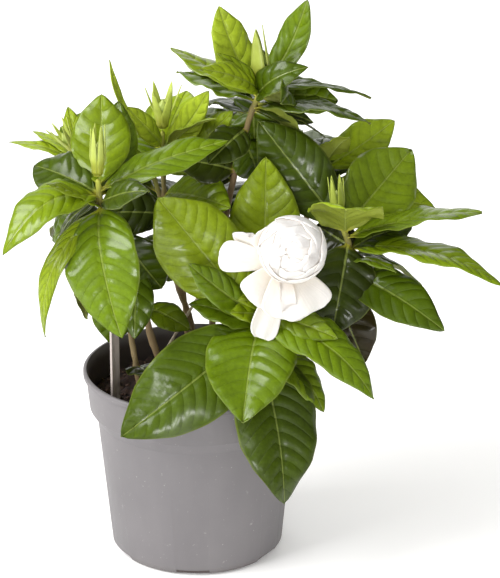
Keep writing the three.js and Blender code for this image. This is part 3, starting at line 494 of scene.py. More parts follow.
class Finish:
    """A procedural material being put together."""

    def __init__(self, name):
        self.material = bpy.data.materials.new(name)
        self.material.use_nodes = True
        self.tree = self.material.node_tree
        self.tree.nodes.clear()

    def node(self, kind, settings=None, sockets=None, output=0):
        """A node of any kind, its settings first, then its sockets, and the signal of one output."""
        made = self.tree.nodes.new("ShaderNode" + kind)
        for name, value in (settings or {}).items():
            if name == "stops":
                self.set_stops(made.color_ramp, value)
            else:
                setattr(made, name, value)
        for name, value in (sockets or {}).items():
            feed(self.tree, made.inputs[name], value)
        return Signal(self.tree, made.outputs[output]) if made.outputs else None

    @staticmethod
    def set_stops(ramp, stops):
        while len(ramp.elements) < len(stops):
            ramp.elements.new(1)
        for element, (place, colour) in zip(ramp.elements, stops):
            element.position = place
            element.color = (*colour, 1)

    def attribute(self, name):
        return self.node("Attribute", {"attribute_name": name}, output="Fac")

    def chart(self):
        """The two directions of the piece's own chart: along and beside, each from 0 to 1."""
        place = self.node("UVMap", {"uv_map": "chart"})
        return [self.node("SeparateXYZ", sockets={0: place}, output=axis) for axis in (0, 1)]

    def height(self):
        """How high a point is over the floor, in metres."""
        return self.node("SeparateXYZ", sockets={0: self.node("TexCoord", output="Object")}, output=2)

    def grain(self, scale, detail=3, roughness=0.5, stretch=(1, 1, 1)):
        """Noise from 0 to 1. scale is in blobs a metre."""
        place = self.node("TexCoord", output="Object")
        place = self.node("Mapping", sockets={"Vector": place, "Scale": stretch})
        return self.node("TexNoise", sockets={
            "Vector": place, "Scale": scale, "Detail": detail, "Roughness": roughness})

    def smooth(self, value, low, high, start=0.0, end=1.0):
        """value moved smoothly from start at low to end at high."""
        return self.node("MapRange", {"interpolation_type": "SMOOTHSTEP"}, {
            "Value": value, "From Min": low, "From Max": high, "To Min": start, "To Max": end})

    def ramp(self, value, *stops):
        return self.node("ValToRGB", {"stops": stops}, {"Fac": value})

    def mix(self, share, one, other):
        """One colour turning to another as share goes from 0 to 1."""
        return self.node("Mix", {"data_type": "RGBA"}, {0: share, 6: one, 7: other}, output=2)

    def shade(self, colour, amount):
        """A colour made brighter or darker by a number."""
        return self.node("HueSaturation", sockets={"Color": colour, "Value": amount})

    def bump(self, height, distance, strength):
        return self.node("Bump", sockets={"Height": height, "Distance": distance, "Strength": strength})

    def surface(self, colour, roughness, **others):
        """Ends the material in one Principled shader."""
        named = {key.replace("_", " ").title().replace("Ior", "IOR"): value for key, value in others.items()}
        shader = self.node("BsdfPrincipled", sockets={"Base Color": colour, "Roughness": roughness, **named})
        self.node("OutputMaterial", sockets={"Surface": shader})
        return self.material


# Finishes

def blade_finish(name, underside):
    """A leaf's skin: green by age and painted light, sunken side veins, a thin pale midrib and margin. Duller and
    paler below.
    """
    made = Finish(name)
    along, beside = made.chart()
    across = abs(beside - 0.5) * 2
    inside = made.smooth(across, 1.0, 0.75)
    crest = abs((made.attribute("course") * math.pi).math("SINE"))
    vein = made.smooth(crest, 0.2, 0.0) * inside
    rib = made.smooth(made.attribute("rib_distance") + along * 0.5, 1.0, 0.6)
    margin = made.smooth(across, 0.94, 1.0)
    stalk = made.smooth(along, 0.12, 0.02)
    age = made.attribute("age") + (made.grain(60, 3) - 0.5) * 0.14 + (0.5 - across) * 0.05
    green = made.ramp(
        age * 0.8 + 0.2,
        (0.0, (0.04, 0.018, 0.006)),
        (0.17, (0.022, 0.024, 0.003)),
        (0.28, (0.04, 0.062, 0.002)),
        (0.45, (0.075, 0.125, 0.0015)),
        (0.6, (0.14, 0.225, 0.002)),
        (0.76, (0.26, 0.36, 0.006)),
        (0.9, (0.37, 0.5, 0.012)),
        (1.0, (0.48, 0.62, 0.035)),
    )
    green = made.shade(green, 0.54 + made.attribute("tone") * 0.2 + (made.grain(420, 5, 0.65) - 0.5) * 0.5)
    if underside:
        green = made.mix(0.55, green, (0.19, 0.2, 0.035))
    green = made.mix(vein * 0.3, green, made.shade(green, 1.15))
    green = made.mix(rib * 0.36, green, (0.3, 0.36, 0.08))
    green = made.mix(margin * 0.3, green, (0.22, 0.26, 0.05))
    green = made.mix(stalk * 0.8, green, (0.4, 0.37, 0.035))
    fine = made.grain(1000, 3)
    if underside:
        height = vein * 0.4 + rib * 0.9 + fine * 0.2
        return made.surface(green, 0.5 + fine * 0.14, normal=made.bump(height, 0.0006, 0.6), specular_ior_level=0.35)
    puckers = made.grain(230, 3)
    height = crest ** 0.5 * inside - rib * 0.6 + puckers * 0.4 + fine * 0.1
    rough = 0.34 + made.grain(90, 3) * 0.14 + fine * 0.06
    polish = made.smooth(made.grain(40, 2), 0.4, 0.58) * made.smooth(age, 1.08, 0.65)
    return made.surface(
        green, rough, normal=made.bump(height, 0.0009, 0.8), specular_ior_level=0.12,
        coat_weight=0.07 + polish * 0.55, coat_roughness=0.2)


def bark_finish():
    """A woody stem: tan and ridged at its foot, red-brown above, green where it is young."""
    made = Finish("gardenia_bark")
    youth = made.attribute("youth")
    mottle = made.grain(260, 4, 0.6, (1, 1, 0.3))
    colour = made.ramp(
        youth + (mottle - 0.5) * 0.25,
        (0.0, (0.2, 0.145, 0.06)),
        (0.45, (0.135, 0.075, 0.035)),
        (0.75, (0.16, 0.14, 0.03)),
        (1.0, (0.34, 0.36, 0.04)),
    )
    colour = made.mix(made.attribute("tone") * made.smooth(youth, 0.9, 0.5), colour, (0.34, 0.235, 0.12))
    colour = made.shade(colour, 0.6 + mottle * 0.7)
    lenticel = made.smooth(made.grain(1400, 2), 0.66, 0.72)
    colour = made.mix(lenticel * 0.5, colour, (0.34, 0.27, 0.16))
    height = mottle * 0.8 + lenticel * 0.6
    return made.surface(colour, 0.62 + mottle * 0.2, normal=made.bump(height, 0.0005, 0.8))


def calyx_finish():
    """The yellow-green ribs and sepals of a bud."""
    made = Finish("bud_green")
    along = made.chart()[0]
    fresh = made.grain(180, 3)
    colour = made.mix(made.smooth(along, 0.0, 0.5), (0.3, 0.32, 0.03), (0.38, 0.45, 0.07))
    colour = made.shade(colour, (0.75 + fresh * 0.5) * made.attribute("tone"))
    return made.surface(colour, 0.34 + fresh * 0.14, normal=made.bump(made.grain(1100, 3), 0.0002, 0.6))


def folded_petal_finish():
    """The pale green-cream petals that are still rolled up in a bud."""
    made = Finish("bud_cream")
    along = made.chart()[0]
    fresh = made.grain(220, 3)
    colour = made.mix(made.smooth(along, 0.1, 0.95), (0.24, 0.34, 0.04), (0.4, 0.47, 0.11))
    colour = made.shade(colour, (0.85 + fresh * 0.3) * made.attribute("tone"))
    return made.surface(colour, 0.45 + fresh * 0.1, normal=made.bump(fresh, 0.0002, 0.5))


def petal_finish():
    """Thick white petals, creamier at the foot, with faint veins that run to the edge."""
    made = Finish("gardenia_white")
    along, beside = made.chart()
    soft = made.grain(90, 3)
    colour = made.ramp(
        along + (soft - 0.5) * 0.2,
        (0.0, (0.64, 0.52, 0.36)),
        (0.3, (0.74, 0.66, 0.57)),
        (0.7, (0.8, 0.735, 0.67)),
        (1.0, (0.82, 0.76, 0.7)),
    )
    spread = (beside - 0.5) / (along * 0.8 + 0.25)
    veins = made.node("TexNoise", {"noise_dimensions": "1D"}, {"W": spread * 18, "Scale": 1.0, "Detail": 2.0})
    colour = made.shade(colour, 0.95 + veins * 0.08)
    height = veins * 0.5 + made.grain(420, 4) * 0.5
    return made.surface(
        colour, 0.48 + soft * 0.12, normal=made.bump(height, 0.0004, 0.5),
        subsurface_weight=0.5, subsurface_radius=(0.004, 0.0035, 0.003), subsurface_scale=1.0)


def pot_finish():
    """Matt grey nursery plastic: faint draw lines, rubbed patches, specks, foot splashes, painted shade, a
    soil-stained inside.
    """
    made = Finish("nursery_plastic")
    cloud = made.grain(14, 4, 0.55)
    rub = made.grain(70, 5, 0.6, (1, 1, 0.45))
    streak = made.grain(90, 3, 0.5, (1, 1, 0.05))
    colour = made.ramp(
        cloud * 0.8 + streak * 0.2,
        (0.3, (0.12, 0.113, 0.117)),
        (0.5, (0.137, 0.128, 0.132)),
        (0.7, (0.155, 0.145, 0.148)),
    )
    speck = made.smooth(made.grain(620, 2, 0.5), 0.72, 0.77)
    splash = made.smooth(made.grain(150, 4, 0.65), 0.64, 0.74)
    splash = splash * made.smooth(made.height(), 0.075, 0.02, 0.15, 1.0)
    colour = made.mix(speck * 0.4, colour, (0.5, 0.48, 0.46))
    colour = made.mix(splash * 0.35, colour, (0.45, 0.43, 0.41))
    # Painted shade: the pot made darker towards the floor over its last 6 mm.
    low = made.smooth(made.height(), 0.006, 0.0)
    colour = made.mix(low * 0.4, colour, (0.1, 0.085, 0.075))
    # Soil stain and painted shade: the inside wall turned near black-brown, darkest well below the rim.
    facing = made.node("VectorMath", {"operation": "DOT_PRODUCT"}, {
        0: made.node("TexCoord", output="Normal"), 1: made.node("TexCoord", output="Object")}, output=1)
    below_rim = made.smooth(made.height(), (POT_HEIGHT - 1) * MM, (POT_HEIGHT - 8) * MM, 0.2, 1.0)
    inner = made.smooth(facing, 0.0, -0.02) * below_rim
    colour = made.mix(inner * (0.6 + cloud * 0.4), colour, (0.028, 0.017, 0.014))
    # Painted shade: the drain notches at the foot darkened as if deep in shadow.
    reach = made.node("VectorMath", {"operation": "LENGTH"}, {0: made.node("TexCoord", output="Object")}, output=1)
    painted_notch_shade = made.smooth(reach, (NOTCH_INNER_RADIUS + 1.5) * MM, (NOTCH_INNER_RADIUS + 0.8) * MM)
    painted_notch_shade = painted_notch_shade * made.smooth(made.height(), (NOTCH_HEIGHT + 0.9) * MM, NOTCH_HEIGHT * MM)
    colour = made.mix(painted_notch_shade * 0.75, colour, (0.05, 0.028, 0.024))
    fine = made.grain(2600, 2)
    height = fine * 0.2 + rub * 0.4 + streak * 0.2
    return made.surface(colour, 0.42 + rub * 0.24, normal=made.bump(height, 0.0003, 0.4))


def soil_finish(name, dark, light):
    """Damp peat with fibres: dark, uneven, nearly without gloss."""
    made = Finish(name)
    clod = made.grain(280, 6, 0.7)
    fibre = made.grain(900, 4, 0.6)
    colour = made.mix(made.smooth(clod, 0.35, 0.75), dark, light)
    colour = made.shade(colour, 0.6 + fibre * 0.8)
    return made.surface(colour, 0.82 + fibre * 0.15, normal=made.bump(clod * 0.8 + fibre * 0.4, 0.0012, 0.9))


def label_finish():
    """A bare plastic label: faded brown-grey, and stained just above the soil."""
    made = Finish("label_plastic")
    cloud = made.grain(110, 4, 0.6)
    colour = made.mix(cloud, (0.36, 0.3, 0.27), (0.55, 0.5, 0.46))
    near_soil = made.smooth(made.height(), (SOIL_TOP + 15) * MM, (SOIL_TOP + 1) * MM)
    dirt = near_soil * made.smooth(made.grain(300, 3), 0.4, 0.6)
    colour = made.mix(dirt * 0.7, colour, (0.1, 0.06, 0.045))
    return made.surface(colour, 0.38 + cloud * 0.2, normal=made.bump(made.grain(700, 3), 0.0002, 0.5))


def cane_finish():
    """A split cane: pale wood with long dark fibres."""
    made = Finish("cane_wood")
    fibre = made.grain(700, 4, 0.6, (1, 1, 0.08))
    colour = made.mix(made.smooth(fibre, 0.35, 0.7), (0.74, 0.66, 0.52), (0.42, 0.33, 0.22))
    return made.surface(colour, 0.6 + fibre * 0.2, normal=made.bump(fibre, 0.0003, 0.7))


# Meshes from charts

def lay_chart(bm, steps, sides, where, **paints):
    """Adds a grid whose point at (along, beside), each from 0 to 1, goes to where(along, beside) in mm.

    Each of the paints is a number, or a function of along and beside, that is written to the points.
    """
    made = bmesh.ops.create_grid(bm, x_segments=steps, y_segments=sides, size=0.5, calc_uvs=True)["verts"]
    layers = [(bm.verts.layers.float[name], value) for name, value in paints.items()]
    for vertex in made:
        along, beside = vertex.co.x + 0.5, vertex.co.y + 0.5
        for layer, value in layers:
            vertex[layer] = value(along, beside) if callable(value) else value
        vertex.co = Vector(where(along, beside)) * MM
    return made


def close_seams(bm, verts):
    """Joins the grid's edges where they meet, as round a stem or at a pole."""
    bmesh.ops.remove_doubles(bm, verts=verts, dist=0.00002)


def new_mesh():
    bm = bmesh.new()
    bm.loops.layers.uv.new("chart")
    for name in ("age", "tone", "youth", "course", "rib_distance"):
        bm.verts.layers.float.new(name)
    return bm


def add_object(name, data):
    made = bpy.data.objects.new(name, data)
    bpy.context.scene.collection.objects.link(made)
    return made


def mesh_object(name, bm, finishes=()):
    """Ends a mesh and puts it in the scene."""
    mesh = bpy.data.meshes.new(name)
    bm.to_mesh(mesh)
    bm.free()
    for finish in finishes:
        mesh.materials.append(finish)
    return add_object(name, mesh)


def piece(name, bm, finishes, node):
    """Finishes a mesh as a piece of the plant that stands for a node."""
    for face in bm.faces:
        face.smooth = True
    made = mesh_object(name, bm, finishes)
    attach(made, "root")
    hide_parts(node)
    return made


def thicken(made, thickness):
    """Gives a sheet its thickness, with its second material on the lower side."""
    solid = made.modifiers.new("thickness", "SOLIDIFY")
    solid.thickness = thickness * MM
    solid.offset = -1
    solid.use_even_offset = False
    if len(made.data.materials) > 1:
        solid.material_offset = 1
        solid.material_offset_rim = 0


# Helpers of the shapes

def between(values, share):
    """The value at a share of the way through a list."""
    slot = share * (len(values) - 1)
    before = min(int(slot), len(values) - 2)
    return values[before] + (values[before + 1] - values[before]) * (slot - before)


def pinch(along):
    """0 at the two ends of a round body, where it closes to a point, and 1 between them."""
    return 1 if 0 < along < 1 else 0


def on_circle(radius, angle, height=0.0):
    return Vector((radius * math.cos(angle), radius * math.sin(angle), height))


def own_noise(rng):
    """A place in the noise for one leaf or petal, so that no two are alike."""
    return Vector((rng.uniform(0, 50), rng.uniform(0, 50), 0))


def spokes(axis, turn):
    """Two directions square to an axis: out at a turn in degrees, from 0 at the right, and to the side of that."""
    right = (Vector((1, 0, 0)) - axis * axis.x).normalized()
    out = Matrix.Rotation(math.radians(turn), 3, axis) @ right
    return out, axis.cross(out)


# Stems and leaves

def on_route(route, place):
    """The point of a smooth route at a place counted in its points."""
    last = len(route) - 1
    start = min(int(place), last - 1)
    share = place - start
    points = [Vector(point) for point in route]
    points = [2 * points[0] - points[1], *points, 2 * points[-1] - points[-2]]
    before, here, there, after = points[start:start + 4]
    leaving = (there - before) / 2
    arriving = (after - here) / 2
    square, cube = share ** 2, share ** 3
    return (
        (2 * cube - 3 * square + 1) * here + (cube - 2 * square + share) * leaving
        + (3 * square - 2 * cube) * there + (cube - square) * arriving)


def tube(bm, centres, radii, sides, steps, **paints):
    """A round bar through the centres. radii gives its radius from along and beside."""
    ahead, behind = [*centres[1:], centres[-1]], [centres[0], *centres[:-1]]
    tangents = [(after - before).normalized() for before, after in zip(behind, ahead)]
    normal = tangents[0].orthogonal().normalized()
    normals = []
    for tangent in tangents:
        normal = (normal - tangent * normal.dot(tangent)).normalized()
        normals.append(normal)

    def where(along, beside):
        index = round(along * steps)
        out = normals[index] * math.cos(TURN * beside)
        out -= tangents[index].cross(normals[index]) * math.sin(TURN * beside)
        return centres[index] + out * radii(along, beside)

    return lay_chart(bm, steps, sides, where, **paints)


def stem(bm, shoot):
    """A stem with a swelling where each leaf leaves it, rounded off at its end."""
    last = len(shoot.route) - 1
    centres = [on_route(shoot.route, last * step / STEM_STEPS) for step in range(STEM_STEPS + 1)]
    joints = [leaf.place / last for leaf in shoot.leaves]
    green_from = shoot.bark / 2

    def radius(along, beside):
        swelling = max(math.exp(-((along - joint) / JOINT_LENGTH) ** 2) for joint in joints)
        knobs = 0.06 * math.sin(TURN * (2 * beside + 7 * along)) + 0.05 * math.sin(TURN * (beside - 19 * along))
        end = math.sqrt(max(0.0, 1 - max(0.0, (along - STEM_END) / (1 - STEM_END)) ** 2))
        plain = between(shoot.radii, along) * pinch(along)
        return plain * (0.95 + JOINT_SWELLING * swelling + knobs) * end

    close_seams(bm, tube(
        bm, centres, radius, STEM_SIDES, STEM_STEPS, tone=shoot.tan,
        youth=lambda along, beside: max(0.0, along - green_from) / (1 - green_from)))


def leaf_outline(along, shoulder):
    """Half the leaf's width as a share of its greatest half width."""
    blade = max(0.0, (along - LEAF_STALK) / (1 - LEAF_STALK))
    outline = max(0.0, math.sin(math.pi * blade ** shoulder)) ** LEAF_FULLNESS
    return outline * (1 - TIP_SHARPENING * max(0.0, along - 0.8) / 0.2)


def vein_course(length, shoulder, along, across):
    """A count that passes a whole number at each side vein. The veins leave the midrib and bend to the tip."""
    swept = along - VEIN_SWEEP * leaf_outline(along, shoulder) * across ** VEIN_BEND
    return swept * round(length / VEIN_SPACING)


def quilt(course, along, across):
    """How far the blade swells between its side veins, from 0 to 1."""
    inner = min(1.0, across / 0.14) * (1 - across ** 4)
    ends = min(1.0, along / 0.12) * min(1.0, (1 - along) / 0.12)
    return abs(math.sin(math.pi * course)) ** 0.7 * inner * ends


def leaf_blade(bm, shoot, leaf, rng):
    """A leaf's blade and short stalk: folded along its midrib, curled, waved and quilted."""
    base, tip = on_route(shoot.route, leaf.place), Vector(leaf.tip)
    length = (tip - base).length
    forward = (tip - base).normalized()
    face = Vector(leaf.face)
    up = (face - forward * face.dot(forward)).normalized()
    side = forward.cross(up)
    crown = base + forward * LEAF_CROWN * length + up * 2 * leaf.arch * length
    fold = math.radians(leaf.fold)
    twist = math.radians(rng.uniform(-LEAF_TWIST, LEAF_TWIST))
    wobble = rng.uniform(0, TURN)
    shift = rng.uniform(0, 0.5)
    seed = own_noise(rng)

    def reach(along, beside):
        stalk = STALK_HALF_WIDTH * (1 - along) + TIP_HALF_WIDTH * (1 - along ** 8)
        return abs(1 - 2 * beside) * max(leaf.wide * leaf_outline(along, leaf.shoulder) / 2, stalk)

    def course(along, beside):
        across = 1 - 2 * beside
        return vein_course(length, leaf.shoulder, along, abs(across)) + (shift if across > 0 else 0)

    def where(along, beside):
        across = 1 - 2 * beside
        far = abs(across)
        rib = base * (1 - along) ** 2 + crown * 2 * along * (1 - along) + tip * along ** 2
        tangent = ((crown - base) * (1 - along) + (tip - crown) * along).normalized()
        normal = side.cross(tangent)
        blade = leaf.wide * leaf_outline(along, leaf.shoulder)
        out = reach(along, beside)
        start = RIGHT_WAVE_START if across > 0 else LEFT_WAVE_START
        wave = LEAF_WAVE * math.sin(TURN * LEAF_WAVES * along + start + leaf.tip[0])
        ripple = LEAF_RIPPLE * math.sin(TURN * LEAF_RIPPLES * along + wobble + 2 * across) * far ** 4
        lift = out * math.sin(fold) + (wave - LEAF_CURL + ripple) * blade * far * far
        lift += QUILT * leaf.wide * quilt(course(along, beside), along, far)
        from_foot = min(1.0, along / 0.1)
        lift -= RIB_GROOVE * math.exp(-(out / RIB_GROOVE_WIDTH) ** 2) * from_foot * (1 - along)
        lift += LEAF_SWAY * leaf.wide * noise.noise(seed + Vector((2.2 * along, 0.8 * across, 0))) * from_foot
        turned = twist * along * along
        right = side * math.cos(turned) + normal * math.sin(turned)
        above = normal * math.cos(turned) - side * math.sin(turned)
        sideways = out * math.cos(fold) * math.copysign(1, across)
        return rib + right * sideways + above * lift

    steps = LEAF_STEPS if leaf.wide > SMALL_LEAF_WIDTH else SMALL_LEAF_STEPS
    lay_chart(bm, *steps, where, age=leaf.age, tone=rng.random(), course=course, rib_distance=reach)


def leafy_stem(shoot, finishes):
    node = "leafy_stem_" + shoot.name
    rng = random.Random(shoot.name)
    blades = new_mesh()
    for leaf in shoot.leaves + INNER_LEAVES.get(shoot.name, []):
        leaf_blade(blades, shoot, leaf, rng)
    thicken(piece("leaves_" + shoot.name, blades, finishes[:2], node), BLADE_THICKNESS)
    wood = new_mesh()
    stem(wood, shoot)
    piece("stem_" + shoot.name, wood, finishes[2:], node)


# Buds

def bud_radius(share):
    """A bud's radius as a share of its width, at a share of its height."""
    return between(BUD_PROFILE, min(share, 1.0))


def flower_bud(bud, finishes):
    """A bud: a ribbed calyx, long narrow sepals, and rolled petals inside them."""
    lean = Vector((0, 0, 1)).rotation_difference(Vector(bud.lean).normalized()).to_matrix()
    foot = Vector(bud.foot)
    height, wide = bud.height, bud.wide
    rng = random.Random(bud.name)

    def placed(where):
        return lambda along, beside: foot + lean @ where(along, beside)

    def calyx(along, beside):
        closing = (1 - 0.3 * along ** 6) * (1 if along > 0 else 0)
        radius = CALYX_SLIMNESS * bud_radius(along * 0.56) * wide * closing
        return on_circle(radius, -TURN * beside, along * CALYX_TOP * height)

    def rolled(along, beside):
        spiral = 1 + 0.13 * abs(math.cos(TURN * (2.5 * beside + 0.9 * along)))
        radius = ROLLED_SLIMNESS * bud_radius(0.35 + 0.65 * along) * wide * spiral * (1 - along ** 6)
        return on_circle(radius * pinch(along), -TURN * beside, (ROLLED_FOOT + ROLLED_HEIGHT * along) * height)

    green = new_mesh()
    close_seams(green, lay_chart(green, 20, 48, placed(calyx), tone=bud.pale))
    for count in range(bud.sepals):
        angle = TURN * count / bud.sepals
        out, side = on_circle(1, angle), on_circle(1, angle + TURN / 4)
        lengthen = rng.uniform(0.9, 1.0)
        sway = rng.uniform(-0.06, 0.06) * wide

        def sepal(along, beside, out=out, side=side, lengthen=lengthen, sway=sway):
            across = 1 - 2 * beside
            share = 0.06 + 0.94 * along * lengthen
            rise = share * height
            hugging = CALYX_SLIMNESS * bud_radius(share * 1.27)
            free = min(1.0, max(0.0, (share - 0.3) / 0.2))
            spread = 0.42 + (bud.spread - 0.42) * max(0.0, share - 0.3) / 0.7
            reach = (hugging * (1 - free) + spread * free) * wide
            half = bud.sepal * (1 - along ** 2.2) ** 0.8 * (0.7 + 0.5 * min(1.0, along / 0.25))
            keel = 0.4 * bud.sepal * (1 - across ** 2) * (1 - along)
            return out * (reach + keel) + side * (across * half + sway * along ** 2) + Vector((0, 0, rise))

        close_seams(green, lay_chart(green, 18, 4, placed(sepal), tone=bud.pale))
    thicken(piece("bud_" + bud.name, green, finishes[:1], "flower_bud_" + bud.name), SEPAL_THICKNESS)
    cream = new_mesh()
    close_seams(cream, lay_chart(cream, 22, 40, placed(rolled), tone=bud.pale))
    piece("bud_petals_" + bud.name, cream, finishes[1:], "flower_bud_" + bud.name)


# The open flower

def petal_outline(along):
    """Half the petal's width as a share of its greatest half width."""
    return max(0.14, 1.06 * along ** 0.55 * math.sqrt(max(0.0, 1 - 0.8 * along ** 12)))


def open_petal(bm, turn, length, wide, foot_angle, tip_angle, cup, point, rng):
    """One petal: it rises from the heart, bends outward, is cupped across and ruffled at its edge."""
    out, side = spokes(BLOOM_AXIS, turn)

    def heading(degrees):
        return BLOOM_AXIS * math.cos(math.radians(degrees)) + out * math.sin(math.radians(degrees))

    foot = BLOOM_HEART - BLOOM_AXIS * 3 + out
    knee = foot + heading(foot_angle) * length / 2
    tip = knee + heading(tip_angle) * length / 2
    phase = rng.uniform(0, TURN)
    notch = rng.uniform(0.0, 0.03)
    lean = rng.uniform(-0.12, 0.12)
    seed = own_noise(rng)

    def where(along, beside):
        across = 2 * beside - 1
        reach = along * (1 - (notch * math.exp(-(across / 0.3) ** 2) + point * across ** 2) * along ** 4)
        middle = foot * (1 - reach) ** 2 + knee * 2 * reach * (1 - reach) + tip * reach ** 2
        tangent = ((knee - foot) * (1 - reach) + (tip - knee) * reach).normalized()
        normal = side.cross(tangent)
        half = wide / 2 * petal_outline(along)
        lift = -cup * half * across ** 2
        ruffle = math.sin(2.6 * math.pi * along + phase + 2 * across)
        lift += PETAL_RUFFLE * wide * along ** 2 * across ** 2 * ruffle
        lift += PETAL_SWAY * wide * along * noise.noise(seed + Vector((1.6 * along, 1.1 * across, 0)))
        lift -= PETAL_CURL * length * max(0.0, along - PETAL_CURL_START) ** 1.5 * (1 - across ** 2)
        across_side = side * math.cos(PETAL_ROLL) + normal * math.sin(PETAL_ROLL)
        sway = side * lean * length * along ** 2 * 0.5
        return middle + across_side * across * half + sway + normal * lift

    lay_chart(bm, *PETAL_STEPS, where)


def ball_petal(bm, turn, half_angle, radius, end, rng):
    """One petal of the ball: it leaves the heart, wraps round, and lies over its neighbour on one side."""
    out, side = spokes(BALL_AXIS, turn + rng.uniform(-5, 5))
    phase = rng.uniform(0, TURN)
    seed = own_noise(rng)
    end += rng.uniform(-4, 4) if end > 10 else 0

    def where(along, beside):
        across = 2 * beside - 1
        ragged = 1 - 0.035 * abs(math.sin(2.4 * across + phase))
        down = math.radians(180 + (end * (1 + 0.25 * across * across) - 180) * along * ragged)
        round_ball = math.radians(half_angle) * across * math.sqrt(1 - BALL_TAPER * along ** 6)
        heading = out * math.cos(round_ball) + side * math.sin(round_ball)
        heading = BALL_AXIS * math.cos(down) + heading * math.sin(down)
        reach = radius * (1 + BALL_SPIRAL * across) + BALL_FLARE * along ** 6
        reach += 0.25 * along * noise.noise(seed + Vector((1.8 * along, 1.3 * across, 0)))
        reach += 0.15 * along ** 4 * math.sin(5 * across + phase)
        ease = min(1.0, along / BALL_FOOT)
        return BLOOM_HEART.lerp(BALL_MIDDLE + heading * reach, ease * ease * (3 - 2 * ease))

    close_seams(bm, lay_chart(bm, *BALL_STEPS, where))


def ball_core(bm):
    """The innermost petals, packed into one round body behind those that are seen."""

    def where(along, beside):
        down = math.pi * (1 - along)
        spread = BALL_AXIS.orthogonal().normalized() * math.sin(down) * pinch(along)
        turned_out = Matrix.Rotation(-TURN * beside, 3, BALL_AXIS) @ spread
        return BALL_MIDDLE + (BALL_AXIS * math.cos(down) + turned_out) * BALL_CORE_RADIUS

    close_seams(bm, lay_chart(bm, 20, 32, where))


def bloom(finishes):
    rng = random.Random("bloom")
    white = new_mesh()
    for values in OPEN_PETALS:
        open_petal(white, *values, rng)
    for turns, *values in BALL_LAYERS:
        for turn in turns:
            ball_petal(white, turn, *values, rng)
    thicken(piece("bloom_petals", white, finishes[:1], "bloom"), PETAL_THICKNESS)
    core = new_mesh()
    ball_core(core)
    piece("bloom_core", core, finishes[:1], "bloom")
    base = new_mesh()
    steps = 16
    foot, top = BLOOM_HEART - BLOOM_AXIS * BLOOM_TUBE, BLOOM_HEART + BLOOM_AXIS * 2
    centres = [foot.lerp(top, step / steps) for step in range(steps + 1)]
    close_seams(base, tube(
        base, centres, lambda along, beside: (1.9 + 2.3 * along) * pinch(along), 20, steps, tone=1))
    piece("bloom_tube", base, finishes[1:], "bloom")


# Pot, soil, label and cane

def turned(bm, profile, steps):
    """Turns an outline of (radius, height) points, closed on the axis or on itself, round the Z axis."""
    verts = [bm.verts.new(Vector((radius, 0, height)) * MM) for radius, height in profile]
    edges = [bm.edges.new(pair) for pair in zip(verts, verts[1:])]
    bmesh.ops.spin(
        bm, geom=verts + edges, cent=(0, 0, 0), axis=(0, 0, 1), angle=TURN, steps=steps, use_merge=True)
    bmesh.ops.remove_doubles(bm, verts=bm.verts, dist=0.00001)
    bmesh.ops.recalc_face_normals(bm, faces=bm.faces)


def pot(finish):
    profile = [
        (0, 0), (POT_FLAT_RADIUS, 0),
        (POT_CORNER_RADIUS, POT_CORNER_LOW), (POT_BASE_RADIUS, POT_CORNER_HIGH),
        (COLLAR_FOOT_RADIUS, COLLAR_FOOT_HEIGHT), (COLLAR_RADIUS, COLLAR_HEIGHT),
        (LIP_UNDER_RADIUS, LIP_UNDER_HEIGHT), (POT_RIM_RADIUS, LIP_HEIGHT),
        (POT_RIM_RADIUS, POT_HEIGHT - LIP_BEVEL), (POT_RIM_RADIUS - LIP_BEVEL, POT_HEIGHT),
        (POT_RIM_RADIUS - POT_WALL - LIP_BEVEL / 2, POT_HEIGHT),
        (LIP_UNDER_RADIUS - POT_WALL, LIP_UNDER_HEIGHT - LIP_BEVEL),
        (COLLAR_RADIUS - POT_WALL, COLLAR_HEIGHT + LIP_BEVEL),
        (COLLAR_FOOT_RADIUS - POT_WALL, COLLAR_FOOT_HEIGHT + LIP_BEVEL),
        (POT_BASE_RADIUS - POT_WALL, POT_CORNER_HIGH + POT_CORNER_LOW),
        (POT_FLAT_RADIUS + POT_WALL, POT_FLOOR), (0, POT_FLOOR),
    ]
    wall = new_mesh()
    turned(wall, profile, POT_STEPS)
    made = piece("nursery_pot", wall, [finish], "pot")
    cutters = bmesh.new()
    for count in range(NOTCH_COUNT):
        place = Matrix.Rotation(NOTCH_TURN + TURN * count / NOTCH_COUNT, 4, "Z")
        place @= Matrix.Translation(((NOTCH_INNER_RADIUS + NOTCH_LENGTH / 2) * MM, 0, 0))
        place @= Matrix.Diagonal((NOTCH_LENGTH * MM, NOTCH_WIDTH * MM, 2 * NOTCH_HEIGHT * MM, 1))
        bmesh.ops.create_cube(cutters, size=1, matrix=place)
    cutter = mesh_object("notch_cutters", cutters)
    cut = made.modifiers.new("notches", "BOOLEAN")
    cut.operation = "DIFFERENCE"
    cut.solver = "EXACT"
    cut.object = cutter
    bpy.context.view_layer.update()
    done = bpy.data.meshes.new_from_object(made.evaluated_get(bpy.context.evaluated_depsgraph_get()))
    made.modifiers.clear()
    made.data = done
    bpy.data.objects.remove(cutter)
    edge = made.modifiers.new("rounded_edges", "BEVEL")
    edge.width = 0.3 * MM
    edge.segments = 2
    edge.limit_method = "ANGLE"
    edge.angle_limit = math.radians(24)


def soil_ripple(x, y):
    return SOIL_RIPPLE * (math.sin(0.31 * x + 1) * math.cos(0.27 * y) + 0.6 * math.sin(0.55 * x - 0.4 * y))


def soil_height(x, y):
    """The soil's top: the solid's ripple with finer lumps on it."""
    lumps = noise.noise(Vector((0.16 * x, 0.16 * y, 0))) * 1.6 + noise.noise(Vector((0.5 * x, 0.5 * y, 7))) * 0.9
    return SOIL_TOP + soil_ripple(x, y) + lumps


